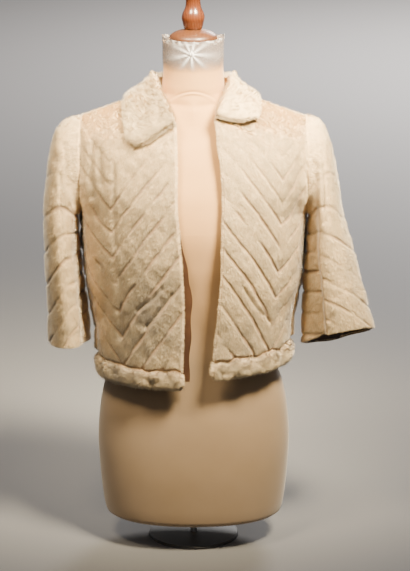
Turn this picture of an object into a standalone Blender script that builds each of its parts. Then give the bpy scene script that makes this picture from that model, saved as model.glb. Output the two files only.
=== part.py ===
"""
Cropped herringbone fur bolero hanging open on a limbless dress form.

The garment is built from the pieces that a furrier cuts and sews: a back, two fronts, two
elbow length bell sleeves, a small pointed collar and a hem band in three lengths, with a satin
facing inside each cuff. Every fur piece is a wall as thick as leather, pile and lining together.
The pieced strips are raised in the outer points of each wall, over a plain inside.

Metres, +Z up. The wearer faces -Y, so the wearer's right is at -X. The origin is on the floor,
in the middle of the stand's round base.
"""

import math

import bpy
import bmesh
from mathutils import Vector

# Sizes of the fur walls
FUR_WALL = 0.0080
STRIP_GROOVE = 0.0034
SEAM_GAP = 0.0003
LINING_WALL = 0.0015

# Herringbone: three grid rows make one strip, and a groove steps one row for each column
ROWS_PER_STRIP = 3
FRONT_COLUMNS = 15
FRONT_V_COLUMN = 9
BACK_HALF_COLUMNS = 18
BACK_V_COLUMN = 12
BODY_ROWS = 30
NECK_ROWS = 3
ROW_GROWTH = 0.18

# Bodice, from the shoulders down to the seam of the hem band
SHOULDER_TIP_X = 0.1930
SHOULDER_TIP_Z = 0.7650
NECK_POINT_X = 0.0660
NECK_POINT_Z = 0.8110
BACK_NECK_Y = 0.0620
BACK_NECK_Z = 0.8060
ARMHOLE_LOW_Z = 0.6000
ARMHOLE_FRONT = 0.0620
ARMHOLE_BACK = 0.0600
ARMHOLE_TURN = 28
BACK_V_SHARE = 0.75
SIDE_ROUNDNESS = 0.88
SEAM_BLEND_ROWS = 2
SEAM_BLEND_COLUMNS = 1.5

# Hem band
BAND_HEIGHT = 0.036

# Sleeves
SLEEVE_COLUMNS = 30
SLEEVE_ROWS = 21
FACING_FIRST_ROW = 15
FOLD_GROWTH = 0.35

# Collar
COLLAR_FALL_WALL = 0.0075
COLLAR_EDGE_SHARE = 0.7
COLLAR_STAND_WALL = 0.0045
COLLAR_ROLL_RISE = 0.002
COLLAR_CLEAR = 0.0016
COLLAR_STATIONS = 20
FALL_STEPS = 5

# Dress form and stand
FORM_BOTTOM_Z = 0.050
FORM_EDGE_Z = 0.064
FORM_HIP_Z = 0.080
FORM_CHEST_Z = 0.700
FORM_TOP_Z = 0.8925
FORM_RING_STEP = 0.034
FORM_SIDES = 36
CAP_SIDES = 28
FINIAL_SIDES = 20
FILM_WALL = 0.0010
FILM_LOW_Z = 0.8350
FILM_MIDDLE_Z = 0.8650
FILM_HIGH_Z = 0.8945
POLE_RADIUS = 0.0060
POLE_SIDES = 16
BASE_RADIUS = 0.0800
BASE_HEIGHT = 0.0050
BASE_BEVEL = 0.0015
BASE_SIDES = 40


def columns(names, *rows):
    """A short table: one name for each column, one row for each section."""
    return {name: [row[k] for row in rows] for k, name in enumerate(names.split())}


def read(table, key, column, at):
    """Value of a column where the key column equals `at`, on a smooth curve through the rows."""
    keys = table[key]
    values = table[column]
    if keys[0] > keys[-1]:
        keys = keys[::-1]
        values = values[::-1]
    if at <= keys[0]:
        return values[0]
    if at >= keys[-1]:
        return values[-1]
    k = max(n for n in range(len(keys) - 1) if keys[n] <= at)

    def slope(n):
        if n == 0:
            return (values[1] - values[0]) / (keys[1] - keys[0])
        if n == len(keys) - 1:
            return (values[-1] - values[-2]) / (keys[-1] - keys[-2])
        before = (values[n] - values[n - 1]) / (keys[n] - keys[n - 1])
        after = (values[n + 1] - values[n]) / (keys[n + 1] - keys[n])
        if before * after <= 0:
            return 0.0
        return 2 * before * after / (before + after)

    span = keys[k + 1] - keys[k]
    t = (at - keys[k]) / span
    start = values[k]
    end = values[k + 1]
    return (start * (1 + 2 * t) * (1 - t) ** 2
            + slope(k) * span * t * (1 - t) ** 2
            + end * t * t * (3 - 2 * t)
            - slope(k + 1) * span * t * t * (1 - t))


# Half width of the bodice at the side seam, and how far its centre front and back stand out
BODICE = columns(
    "z      half_width front  back",
    (0.300, 0.1680,    0.1350, 0.1170),
    (0.350, 0.1690,    0.1340, 0.1140),
    (0.400, 0.1712,    0.1335, 0.1110),
    (0.435, 0.1770,    0.1338, 0.1100),
    (0.470, 0.1835,    0.1342, 0.1105),
    (0.540, 0.1900,    0.1348, 0.1120),
    (0.600, 0.1925,    0.1330, 0.1140),
    (0.650, 0.1928,    0.1270, 0.1140),
    (0.700, 0.1930,    0.1165, 0.1090),
    (0.740, 0.1930,    0.1045, 0.0990),
    (0.775, 0.1930,    0.0885, 0.0850),
    (0.811, 0.1930,    0.0600, 0.0600),
)

# The open fronts: how far each centre edge lies from the middle
FRONT_EDGE = columns(
    "z      wearers_right wearers_left",
    (0.300, 0.0200,       0.0340),
    (0.350, 0.0190,       0.0345),
    (0.390, 0.0175,       0.0375),
    (0.450, 0.0160,       0.0440),
    (0.515, 0.0185,       0.0490),
    (0.600, 0.0250,       0.0500),
    (0.640, 0.0280,       0.0515),
    (0.700, 0.0275,       0.0475),
    (0.730, 0.0285,       0.0430),
    (0.780, 0.0310,       0.0385),
)

# Front neckline from the neck point down to the centre edge, one row for each grid row
NECKLINE = columns(
    "row x      y       drop",
    (0, 0.0660, 0.0000, 0.00),
    (1, 0.0610, 0.0340, 0.20),
    (2, 0.0505, 0.0650, 0.55),
    (3, 0.0385, 0.0885, 1.00),
)

# Each side's own heights, at the top of the centre front edge and of the hem at the centre and
# side, and how far out the V of its herringbone lies as a share of the half width
SIDES = {
    "right": {"sign": -1, "front_top": 0.7680, "hem_centre": 0.3080, "hem_side": 0.3070,
              "v_share": 0.73},
    "left": {"sign": 1, "front_top": 0.7780, "hem_centre": 0.3260, "hem_side": 0.3330,
             "v_share": 0.79},
}

# Sleeve sections from armhole (0) to cuff (1): the line over the arm, the line under it, the
# depth to the front and back, and how much higher the front hangs than the middle
SLEEVE_RIGHT = columns(
    "along top_x   top_z   under_x under_z front   back    front_up back_down",
    (0.00, 0.1935, 0.7650, 0.1935, 0.6000, 0.0620, 0.0600, 0.000,   0.000),
    (0.05, 0.2165, 0.7590, 0.1975, 0.5945, 0.0665, 0.0650, 0.000,   0.000),
    (0.10, 0.2335, 0.7440, 0.1988, 0.5850, 0.0720, 0.0700, 0.000,   0.000),
    (0.15, 0.2430, 0.7220, 0.1985, 0.5740, 0.0765, 0.0745, 0.001,   0.001),
    (0.20, 0.2487, 0.6980, 0.1978, 0.5630, 0.0800, 0.0780, 0.002,   0.002),
    (0.30, 0.2562, 0.6500, 0.1960, 0.5400, 0.0850, 0.0820, 0.003,   0.003),
    (0.40, 0.2610, 0.5980, 0.1940, 0.5150, 0.0880, 0.0840, 0.004,   0.004),
    (0.60, 0.2600, 0.5120, 0.1890, 0.4630, 0.0900, 0.0860, 0.006,   0.006),
    (0.80, 0.2565, 0.4320, 0.1825, 0.4120, 0.0890, 0.0870, 0.008,   0.008),
    (1.00, 0.2570, 0.3560, 0.1785, 0.3600, 0.0880, 0.0880, 0.010,   0.010),
)
SLEEVE_LEFT = columns(
    "along top_x   top_z   under_x under_z front   back    front_up back_down",
    (0.00, 0.1935, 0.7650, 0.1935, 0.6000, 0.0620, 0.0600, 0.000,   0.000),
    (0.05, 0.2125, 0.7590, 0.1975, 0.5945, 0.0670, 0.0640, 0.000,   0.000),
    (0.10, 0.2270, 0.7440, 0.1988, 0.5850, 0.0740, 0.0680, 0.000,   0.000),
    (0.15, 0.2360, 0.7220, 0.1985, 0.5740, 0.0785, 0.0710, 0.001,   0.001),
    (0.20, 0.2420, 0.6980, 0.1978, 0.5630, 0.0820, 0.0740, 0.002,   0.002),
    (0.30, 0.2510, 0.6500, 0.1960, 0.5400, 0.0860, 0.0770, 0.005,   0.004),
    (0.40, 0.2600, 0.6000, 0.1940, 0.5150, 0.0885, 0.0780, 0.009,   0.007),
    (0.60, 0.2830, 0.5150, 0.1900, 0.4630, 0.0905, 0.0780, 0.018,   0.013),
    (0.80, 0.3030, 0.4430, 0.1885, 0.4100, 0.0920, 0.0770, 0.026,   0.019),
    (1.00, 0.3210, 0.3800, 0.1885, 0.3540, 0.0930, 0.0750, 0.033,   0.024),
)

# Long folds pressed into a sleeve: degrees round from the line over the arm towards the front,
# how wide the fold is to each side, how deep it is, and where along the sleeve it starts
SLEEVE_FOLDS = {
    "right": columns(
        "angle outer inner depth starts",
        (150,  26,   40,   0.010, 0.05),
        (285,  30,   30,   0.006, 0.25),
    ),
    "left": columns(
        "angle outer inner depth starts",
        (136,  18,   50,   0.028, 0.10),
        (262,  34,   34,   0.009, 0.30),
        (40,   26,   26,   0.004, 0.45),
    ),
}

# Herringbone round a sleeve, over half its columns: the seams climb from the line over the arm
# to the seam under it
SLEEVE_ZIGZAG = (0, 0, 0, 1, 2, 3, 3, 4, 5, 5, 6, 7, 7, 7, 8, 8)

# Collar, from its pointed front end (0) to the shoulder seam (1), and on to the centre back.
# The fall lies on the grid of the front and then of the back, from its neck edge out to its
# free edge, and the stand lifts it at the neck.
COLLAR_FRONT = columns(
    "along neck_row edge_right edge_left row_right row_left stand",
    (0.00, 3.25,    4.50,      3.60,     4.70,     3.10,    0.003),
    (0.30, 2.30,    5.90,      4.80,     3.60,     2.70,    0.008),
    (0.65, 1.20,    6.10,      4.70,     1.80,     1.45,    0.013),
    (1.00, 0.00,    5.60,      4.28,     0.00,     0.00,    0.016),
)
COLLAR_BACK = columns(
    "along neck_column edge_column edge_row stand",
    (0.00, 6.00,       10.30,      0.00,    0.016),
    (0.35, 4.20,       8.40,       2.00,    0.015),
    (0.70, 2.00,       4.20,       3.10,    0.014),
    (1.00, 0.00,       0.00,       3.50,    0.014),
)
COLLAR_FRONT_SHARE = 0.5

# Dress form sections: half width and depth of the front and back at each height
FORM = columns(
    "z       half_width front   back    square",
    (0.0500, 0.1500,    0.1010, 0.1010, 2.20),
    (0.0545, 0.1560,    0.1065, 0.1065, 2.20),
    (0.0800, 0.1615,    0.1100, 0.1120, 2.20),
    (0.1350, 0.1670,    0.1120, 0.1180, 2.20),
    (0.1870, 0.1697,    0.1100, 0.1190, 2.20),
    (0.2400, 0.1660,    0.1060, 0.1120, 2.20),
    (0.2850, 0.1580,    0.1000, 0.1000, 2.15),
    (0.3400, 0.1380,    0.0940, 0.0880, 2.10),
    (0.4000, 0.1230,    0.0900, 0.0820, 2.10),
    (0.4600, 0.1290,    0.0960, 0.0840, 2.10),
    (0.5200, 0.1420,    0.1080, 0.0900, 2.10),
    (0.5800, 0.1510,    0.1170, 0.0960, 2.10),
    (0.6300, 0.1530,    0.1130, 0.0980, 2.15),
    (0.6800, 0.1570,    0.0980, 0.0950, 2.20),
    (0.7200, 0.1650,    0.0830, 0.0860, 2.20),
    (0.7460, 0.1690,    0.0700, 0.0640, 1.80),
    (0.7575, 0.1650,    0.0650, 0.0550, 1.50),
    (0.7685, 0.1545,    0.0620, 0.0455, 1.28),
    (0.7804, 0.1245,    0.0590, 0.0360, 1.18),
    (0.7904, 0.0890,    0.0545, 0.0285, 1.16),
    (0.8002, 0.0612,    0.0525, 0.0345, 1.36),
    (0.8085, 0.0541,    0.0508, 0.0470, 1.85),
    (0.8200, 0.0530,    0.0510, 0.0500, 2.00),
    (0.8400, 0.0515,    0.0505, 0.0500, 2.00),
    (0.8700, 0.0512,    0.0505, 0.0500, 2.00),
    (0.8925, 0.0515,    0.0510, 0.0505, 2.00),
)

# Lower edge of the hem band: share of its height from the seam down, and depth into the wall
BAND_PROFILE = columns(
    "share depth",
    (0.00, 0.0000),
    (0.12, -0.0006),
    (0.50, -0.0010),
    (0.88, -0.0004),
    (1.00, 0.0030),
    (1.00, 0.0060),
    (0.90, 0.0080),
    (0.00, 0.0080),
)

# Domed wooden cap on the neck: height above the neck's top and radius
CAP = columns(
    "z      radius",
    (0.0000, 0.0400),
    (0.0010, 0.0410),
    (0.0055, 0.0410),
    (0.0095, 0.0396),
    (0.0132, 0.0355),
    (0.0165, 0.0290),
    (0.0189, 0.0205),
    (0.0205, 0.0135),
    (0.0210, 0.0115),
)

# Turned finial above the cap: height above the cap's top and radius
FINIAL = columns(
    "z      radius",
    (0.000, 0.0105),
    (0.004, 0.0135),
    (0.010, 0.0178),
    (0.018, 0.0197),
    (0.026, 0.0183),
    (0.034, 0.0146),
    (0.040, 0.0129),
    (0.046, 0.0126),
    (0.054, 0.0140),
    (0.062, 0.0163),
    (0.070, 0.0166),
    (0.077, 0.0140),
    (0.082, 0.0090),
    (0.085, 0.0040),
)


def clear_scene():
    for old in list(bpy.data.objects):
        bpy.data.objects.remove(old, do_unlink=True)


def make_material(name, colour, roughness, metallic=0.0, alpha=1.0):
    material = bpy.data.materials.new(name)
    material.use_nodes = True
    shader = material.node_tree.nodes["Principled BSDF"]
    shader.inputs["Base Color"].default_value = (*colour, 1.0)
    shader.inputs["Roughness"].default_value = roughness
    shader.inputs["Metallic"].default_value = metallic
    shader.inputs["Alpha"].default_value = alpha
    return material


def add_object(name, points, faces, material, sharp_degrees):
    """One closed body from points and faces, its faces pointing out."""
    mesh = bpy.data.meshes.new(name)
    shape = bmesh.new()
    vertices = [shape.verts.new(point) for point in points]
    for face in faces:
        shape.faces.new([vertices[k] for k in face])
    bmesh.ops.recalc_face_normals(shape, faces=shape.faces)
    bmesh.ops.triangulate(shape, faces=[face for face in shape.faces if len(face.verts) > 3])
    shape.to_mesh(mesh)
    shape.free()
    mesh.shade_smooth()
    mesh.set_sharp_from_angle(angle=math.radians(sharp_degrees))
    mesh.materials.append(material)
    part = bpy.data.objects.new(name, mesh)
    bpy.context.scene.collection.objects.link(part)
    return part


def row_share(share):
    """Rows are closer together at the shoulder than at the hem."""
    return share * (1 - ROW_GROWTH) + ROW_GROWTH * share * share


def section_point(near, far, full_angle, column, last_column, v_column, v_share):
    """
    A point on a horizontal section of the bodice, which is a quarter of a rounded box.

    near and far are its ends at the centre and at the side or armhole. The angle turned at
    the far end is 90 degrees at the side seam and less where a sleeve carries the cloth on.
    The column of the herringbone's V lies at v_share of the half width.
    """
    first = math.asin(min(0.999, near.x / far.x * math.sin(full_angle)))
    v_angle = math.asin(v_share * math.sin(full_angle))
    if column <= v_column:
        angle = first + (v_angle - first) * column / v_column
    else:
        beyond = (column - v_column) / (last_column - v_column)
        angle = v_angle + (full_angle - v_angle) * beyond

    def fullness(a):
        rise = (math.cos(a) - math.cos(full_angle)) / (1 - math.cos(full_angle))
        return max(0.0, rise) ** SIDE_ROUNDNESS

    x = far.x * math.sin(angle) / math.sin(full_angle)
    y = far.y + (near.y - far.y) * fullness(angle) / fullness(first)
    z = near.z + (far.z - near.z) * (x - near.x) / (far.x - near.x)
    return Vector((x, y, z))


def side_end(z, armhole_depth):
    """Where a section ends: on the side seam, or on the armhole above it. Y counts outward."""
    half_height = (SHOULDER_TIP_Z - ARMHOLE_LOW_Z) / 2
    middle = ARMHOLE_LOW_Z + half_height
    height = (z - middle) / half_height
    if height <= -1:
        end = Vector((read(BODICE, "z", "half_width", z), 0.0, z))
        return end, math.radians(90)
    depth = armhole_depth * math.sqrt(max(0.0, 1 - height * height))
    turn = 90 - ARMHOLE_TURN * depth / armhole_depth
    return Vector((SHOULDER_TIP_X, depth, z)), math.radians(turn)


def front_point(side, column, row):
    """Outer point of a front at a grid column (0 at the centre edge) and row (0 at the top)."""
    low = side["hem_centre"] + BAND_HEIGHT
    top = side["front_top"]
    if row <= NECK_ROWS:
        drop = read(NECKLINE, "row", "drop", row)
        z = NECK_POINT_Z + (top - NECK_POINT_Z) * drop
        near = Vector((read(NECKLINE, "row", "x", row), read(NECKLINE, "row", "y", row), z))
        centre = read(FRONT_EDGE, "z", side["edge"], top)
        near.x += (centre - NECKLINE["x"][-1]) * drop
        near.y += (read(BODICE, "z", "front", top) - NECKLINE["y"][-1]) * drop
    else:
        share = row_share((row - NECK_ROWS) / (BODY_ROWS - NECK_ROWS))
        z = top + (low - top) * share
        near = Vector((read(FRONT_EDGE, "z", side["edge"], z), read(BODICE, "z", "front", z), z))
    side_low = side["hem_side"] + BAND_HEIGHT
    far_z = SHOULDER_TIP_Z + (side_low - SHOULDER_TIP_Z) * row_share(row / BODY_ROWS)
    far, turn = side_end(far_z, ARMHOLE_FRONT)
    point = section_point(near, far, turn, column, FRONT_COLUMNS, FRONT_V_COLUMN,
                          side["v_share"])
    return Vector((side["sign"] * point.x, -point.y - SEAM_GAP / 2, point.z))


def back_top(column):
    """Top edge of the back: half the back neckline, then the shoulder seam."""
    neck = BACK_HALF_COLUMNS / 3
    if column <= neck:
        turn = math.radians(90) * column / neck
        rise = (NECK_POINT_Z - BACK_NECK_Z) * column / neck
        return Vector((NECK_POINT_X * math.sin(turn), BACK_NECK_Y * math.cos(turn),
                       BACK_NECK_Z + rise))
    share = (column - neck) / (BACK_HALF_COLUMNS - neck)
    return Vector((NECK_POINT_X + (SHOULDER_TIP_X - NECK_POINT_X) * share, 0.0,
                   NECK_POINT_Z + (SHOULDER_TIP_Z - NECK_POINT_Z) * share))


def back_section(side, column, row):
    hem_middle = (SIDES["right"]["hem_side"] + SIDES["left"]["hem_side"]) / 2
    low = hem_middle + BAND_HEIGHT
    share = row_share(row / BODY_ROWS)
    z = BACK_NECK_Z + (low - BACK_NECK_Z) * share
    depth = read(BODICE, "z", "back", z)
    if row < NECK_ROWS:
        depth = BACK_NECK_Y + (depth - BACK_NECK_Y) * row / NECK_ROWS
    near = Vector((0.0, depth, z))
    far_z = SHOULDER_TIP_Z + (side["hem_side"] + BAND_HEIGHT - SHOULDER_TIP_Z) * share
    far, turn = side_end(far_z, ARMHOLE_BACK)
    return section_point(near, far, turn, column, BACK_HALF_COLUMNS, BACK_V_COLUMN,
                         BACK_V_SHARE)


def back_point(column, row):
    """Outer point of the back. Columns run from the wearer's right side, 0, to the left."""
    half = column - BACK_HALF_COLUMNS
    side = SIDES["left"] if half >= 0 else SIDES["right"]
    half = abs(half)
    point = back_section(side, half, row)
    yoke_rows = 2 * NECK_ROWS
    if row < yoke_rows:
        fade = (1 - row / yoke_rows) ** 2
        point += (back_top(half) - back_section(side, half, 0)) * fade
    return Vector((side["sign"] * point.x, point.y + SEAM_GAP / 2, point.z))


def sleeve_point(name, column, row):
    """Outer point of a sleeve: column 0 is over the arm, and columns run towards the front."""
    table = SLEEVE_LEFT if name == "left" else SLEEVE_RIGHT
    along = row / SLEEVE_ROWS
    angle = 2 * math.pi * column / SLEEVE_COLUMNS
    over = Vector((read(table, "along", "top_x", along), 0, read(table, "along", "top_z", along)))
    under = Vector((read(table, "along", "under_x", along), 0,
                    read(table, "along", "under_z", along)))
    middle = (over + under) / 2
    arm = (over - under) / 2
    forward = math.sin(angle)
    depth = read(table, "along", "front", along)
    lift = read(table, "along", "front_up", along) * forward
    if forward < 0:
        depth = read(table, "along", "back", along)
        lift = read(table, "along", "back_down", along) * forward
    point = middle + arm * math.cos(angle)
    point.y = -depth * forward
    point.z += lift
    inward = (Vector((middle.x, 0, point.z)) - point).normalized()
    point += inward * fold_depth(SLEEVE_FOLDS[name], math.degrees(angle), along)
    point.x *= SIDES[name]["sign"]
    return point


def fold_depth(folds, degrees, along):
    total = 0.0
    for k, centre in enumerate(folds["angle"]):
        away = (degrees - centre + 180) % 360 - 180
        width = folds["inner"][k] if away > 0 else folds["outer"][k]
        if abs(away) < width:
            start = folds["starts"][k]
            grown = min(1.0, max(0.0, (along - start) / FOLD_GROWTH))
            bell = math.cos(math.radians(90) * away / width) ** 2
            total += folds["depth"][k] * bell * grown
    return total


def strip_groove(column_step, row):
    """Depth of the groove between two strips at a grid point, none on the strips."""
    return STRIP_GROOVE if (row + column_step) % ROWS_PER_STRIP == 0 else 0.0


def front_step(column):
    """How many rows lower a groove lies than at the centre edge."""
    if column <= FRONT_V_COLUMN:
        return -column
    return column - 2 * FRONT_V_COLUMN


def back_step(column):
    half = abs(column - BACK_HALF_COLUMNS)
    if half <= BACK_V_COLUMN:
        return -half
    return half - 2 * BACK_V_COLUMN


def sleeve_step(column):
    half = min(column % SLEEVE_COLUMNS, SLEEVE_COLUMNS - column % SLEEVE_COLUMNS)
    return SLEEVE_ZIGZAG[half]


def surface_normal(surface, column, row, last_column, last_row, closed, outside):
    """Outward normal of a grid surface, turned to the side that `outside` points to."""
    step = 0.05
    before = column - step
    after = column + step
    if not closed:
        before = max(0.0, before)
        after = min(last_column, after)
    above = max(0.0, row - step)
    below = min(last_row, row + step)
    across = surface(after, row) - surface(before, row)
    down = surface(column, below) - surface(column, above)
    normal = across.cross(down).normalized()
    return normal * outside


def stitch_rim(fine, coarse, marks, faces):
    """Close the edge between a finely divided line and a coarser one below it."""
    for k in range(len(marks) - 1):
        first = marks[k]
        last = marks[k + 1]
        half = (first + last + 1) // 2
        for n in range(first, half):
            faces.append((fine[n], fine[n + 1], coarse[k]))
        faces.append((fine[half], coarse[k + 1], coarse[k]))
        for n in range(half, last):
            faces.append((fine[n], fine[n + 1], coarse[k + 1]))


def fur_wall(surface, normal_at, groove_at, step_at, last_column, rows, inner_columns, inner_rows,
             closed, wall):
    """
    Points and faces of a fur wall: a fine outer grid with grooves, a plain inner grid a wall's
    thickness below it, and rims that join them. Diagonals follow the grooves.
    """
    points = []
    faces = []
    first_row, last_row = rows
    column_count = last_column if closed else last_column + 1
    outer = {}
    for row in range(first_row, last_row + 1):
        for column in range(column_count):
            outer[column, row] = len(points)
            sunk = groove_at(column, row)
            points.append(surface(column, row) - normal_at(column, row) * sunk)
    inner = {}
    for row in inner_rows:
        for column in inner_columns:
            if column < column_count:
                inner[column, row] = len(points)
                points.append(surface(column, row) - normal_at(column, row) * wall)
    if closed:
        for row in range(first_row, last_row + 1):
            outer[last_column, row] = outer[0, row]
        for row in inner_rows:
            inner[last_column, row] = inner[0, row]
    for row in range(first_row, last_row):
        for column in range(last_column):
            a = outer[column, row]
            b = outer[column + 1, row]
            c = outer[column + 1, row + 1]
            d = outer[column, row + 1]
            if step_at(column + 1) < step_at(column):
                faces += [(a, b, c), (a, c, d)]
            else:
                faces += [(a, b, d), (b, c, d)]
    for low, high in zip(inner_rows, inner_rows[1:]):
        for near, far in zip(inner_columns, inner_columns[1:]):
            faces.append((inner[near, low], inner[near, high], inner[far, high], inner[far, low]))
    edges = [(first_row, True), (last_row, True)]
    if not closed:
        edges += [(0, False), (last_column, False)]
    for place, is_row in edges:
        if is_row:
            fine = [outer[column, place] for column in range(last_column + 1)]
            coarse = [inner[column, place] for column in inner_columns]
            marks = list(inner_columns)
        else:
            fine = [outer[place, row] for row in range(first_row, last_row + 1)]
            coarse = [inner[place, row] for row in inner_rows]
            marks = [row - first_row for row in inner_rows]
        stitch_rim(fine, coarse, marks, faces)
    return points, faces


def body_normal(surface, last_column, outside, on_shoulder):
    """
    Normals of a bodice piece. At a seam they have no part that leans across it, so that the
    pieces on its two sides keep their gap through the whole wall.
    """
    fall = (NECK_POINT_Z - SHOULDER_TIP_Z) / (SHOULDER_TIP_X - NECK_POINT_X)

    def normal_at(column, row):
        normal = surface_normal(surface, column, row, last_column, BODY_ROWS, False, outside)
        across = math.copysign(fall, surface(column, row).x)
        shoulder = Vector((across, 0, 1)).normalized()
        near_seam = max(0.0, 1 - row / SEAM_BLEND_ROWS) * on_shoulder(column)
        normal = normal.lerp(shoulder, near_seam)
        if row > BODY_ROWS - 1:
            normal.z *= BODY_ROWS - row
        return normal.normalized()
    return normal_at


def front_on_shoulder(column):
    """The whole top row of a front is its shoulder seam."""
    return 1.0


def back_on_shoulder(column):
    """The back's top row is neckline in the middle and shoulder seam beyond the neck points."""
    half = abs(column - BACK_HALF_COLUMNS)
    neck = BACK_HALF_COLUMNS / 3
    return min(1.0, max(0.0, (half - neck) / SEAM_BLEND_COLUMNS + 1))


def sleeve_normal(surface, sign):
    """At the armhole the sleeve's wall stays on its own side of the seam's plane."""
    def normal_at(column, row):
        normal = surface_normal(surface, column, row, SLEEVE_COLUMNS, SLEEVE_ROWS, True, sign)
        if row < SEAM_BLEND_ROWS:
            normal.x *= row / SEAM_BLEND_ROWS
            normal.normalize()
        return normal
    return normal_at


INNER_BODY_ROWS = [0, 1, 2, 3, 4, 6, 9, 12, 15, 18, 21, 24, 27, 30]
INNER_SLEEVE_COLUMNS = list(range(0, SLEEVE_COLUMNS + 1, 2))
INNER_SLEEVE_ROWS = [0, 1, 2, 3, 4, 5, 7, 9, 12, 15, 18, 21]


def make_front(name, fur):
    side = SIDES[name]
    side["edge"] = "wearers_" + name

    def surface(column, row):
        return front_point(side, column, row)

    normal_at = body_normal(surface, FRONT_COLUMNS, -side["sign"], front_on_shoulder)

    def groove_at(column, row):
        return strip_groove(front_step(column), row)

    points, faces = fur_wall(surface, normal_at, groove_at, front_step, FRONT_COLUMNS,
                             (0, BODY_ROWS), list(range(0, FRONT_COLUMNS + 1, 3)),
                             INNER_BODY_ROWS, False, FUR_WALL)
    add_object("front_" + name, points, faces, fur, 50)
    return surface, normal_at


def make_back(fur):
    last = 2 * BACK_HALF_COLUMNS
    normal_at = body_normal(back_point, last, 1, back_on_shoulder)

    def groove_at(column, row):
        return strip_groove(back_step(column), row)

    neck = BACK_HALF_COLUMNS // 3
    near_neck = range(BACK_HALF_COLUMNS - neck, BACK_HALF_COLUMNS + neck, 2)
    inner_columns = [*range(0, near_neck[0], 3), *near_neck,
                     *range(BACK_HALF_COLUMNS + neck, last + 1, 3)]
    points, faces = fur_wall(back_point, normal_at, groove_at, back_step, last,
                             (0, BODY_ROWS), inner_columns, INNER_BODY_ROWS, False, FUR_WALL)
    add_object("back", points, faces, fur, 50)
    return back_point, normal_at


def make_sleeve(name, fur):
    sign = SIDES[name]["sign"]

    def surface(column, row):
        return sleeve_point(name, column, row)

    normal_at = sleeve_normal(surface, sign)

    def groove_at(column, row):
        return strip_groove(sleeve_step(column), row)

    points, faces = fur_wall(surface, normal_at, groove_at, sleeve_step, SLEEVE_COLUMNS,
                             (0, SLEEVE_ROWS), INNER_SLEEVE_COLUMNS, INNER_SLEEVE_ROWS, True,
                             FUR_WALL)
    add_object("sleeve_" + name, points, faces, fur, 50)
    return surface, normal_at


def make_facing(name, sleeve, satin):
    """Satin facing inside a cuff: a thin tube a seam's gap inside the fur wall."""
    surface, normal_at = sleeve
    rows = [row for row in INNER_SLEEVE_ROWS if row >= FACING_FIRST_ROW]
    outside = FUR_WALL + SEAM_GAP * 2
    points = []
    rings = []
    for depth in (outside, outside + LINING_WALL):
        for row in rows:
            ring = []
            for column in INNER_SLEEVE_COLUMNS[:-1]:
                ring.append(len(points))
                points.append(surface(column, row) - normal_at(column, row) * depth)
            rings.append(ring)
    count = len(rows)
    order = rings[:count] + rings[count:][::-1]
    faces = []
    for k, ring in enumerate(order):
        following = order[(k + 1) % len(order)]
        for n in range(len(ring)):
            after = (n + 1) % len(ring)
            faces.append((ring[n], ring[after], following[after], following[n]))
    add_object("cuff_facing_" + name, points, faces, satin, 50)


def make_band(name, surface, normal_at, last_column, fur, hem_z):
    """
    Hem band: a plain strip sewn below a bodice piece. It starts a seam's gap below the piece's
    last row, hangs straight and has a rounded lower edge.
    """
    def band_point(column, share):
        top = surface(column, BODY_ROWS)
        low = hem_z(column)
        start = top.z - SEAM_GAP
        return Vector((top.x, top.y, start + (low - start) * share))

    points = []
    rings = []
    profile = list(zip(BAND_PROFILE["share"], BAND_PROFILE["depth"]))
    for column in range(last_column + 1):
        normal = normal_at(column, BODY_ROWS)
        normal.z = 0
        normal.normalize()
        ring = []
        for share, depth in profile:
            ring.append(len(points))
            points.append(band_point(column, share) - normal * depth)
        rings.append(ring)
    faces = []
    size = len(profile)
    for column in range(last_column):
        for k in range(size):
            after = (k + 1) % size
            faces.append((rings[column][k], rings[column][after],
                          rings[column + 1][after], rings[column + 1][k]))
    faces.append(tuple(rings[0]))
    faces.append(tuple(reversed(rings[-1])))
    add_object("hem_band_" + name, points, faces, fur, 50)


def collar_section(fronts, back, along):
    """
    One section of the collar, as a closed ring of points from the inside of the stand, over
    the roll, out along the fall and back under it. along runs from -1, the right front end,
    over 0, the centre back, to 1, the left front end.
    """
    name = "left" if along >= 0 else "right"
    sign = SIDES[name]["sign"]
    from_end = 1 - abs(along)
    if from_end < COLLAR_FRONT_SHARE:
        share = from_end / COLLAR_FRONT_SHARE
        surface, normal_at = fronts[name]
        neck = (0.0, read(COLLAR_FRONT, "along", "neck_row", share))
        edge = (read(COLLAR_FRONT, "along", "edge_" + name, share),
                read(COLLAR_FRONT, "along", "row_" + name, share))
        stand = read(COLLAR_FRONT, "along", "stand", share)
    else:
        share = (from_end - COLLAR_FRONT_SHARE) / (1 - COLLAR_FRONT_SHARE)
        surface, normal_at = back
        middle = BACK_HALF_COLUMNS
        neck = (middle + sign * read(COLLAR_BACK, "along", "neck_column", share), 0.0)
        edge = (middle + sign * read(COLLAR_BACK, "along", "edge_column", share),
                read(COLLAR_BACK, "along", "edge_row", share))
        stand = read(COLLAR_BACK, "along", "stand", share)
    under = []
    over = []
    for k in range(FALL_STEPS + 1):
        out = k / FALL_STEPS
        column = neck[0] + (edge[0] - neck[0]) * out
        row = neck[1] + (edge[1] - neck[1]) * out
        place = surface(column, row)
        normal = normal_at(column, row)
        lift = stand * (1 - out) ** 2
        thickness = COLLAR_FALL_WALL * (1.0 if 0 < k < FALL_STEPS else COLLAR_EDGE_SHARE)
        base = place + normal * COLLAR_CLEAR + Vector((0, 0, lift))
        under.append(base)
        over.append(base + normal * thickness + Vector((0, 0, COLLAR_ROLL_RISE * (1 - out))))
    inward = Vector((-over[0].x, -over[0].y, 0)).normalized()
    roll_low = under[0] + inward * COLLAR_STAND_WALL
    roll_low.z = under[0].z
    foot_out = surface(*neck) + normal_at(*neck) * COLLAR_CLEAR
    foot_in = foot_out + inward * COLLAR_STAND_WALL
    return [foot_out, foot_in, roll_low] + over + under[::-1][:-1]


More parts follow.
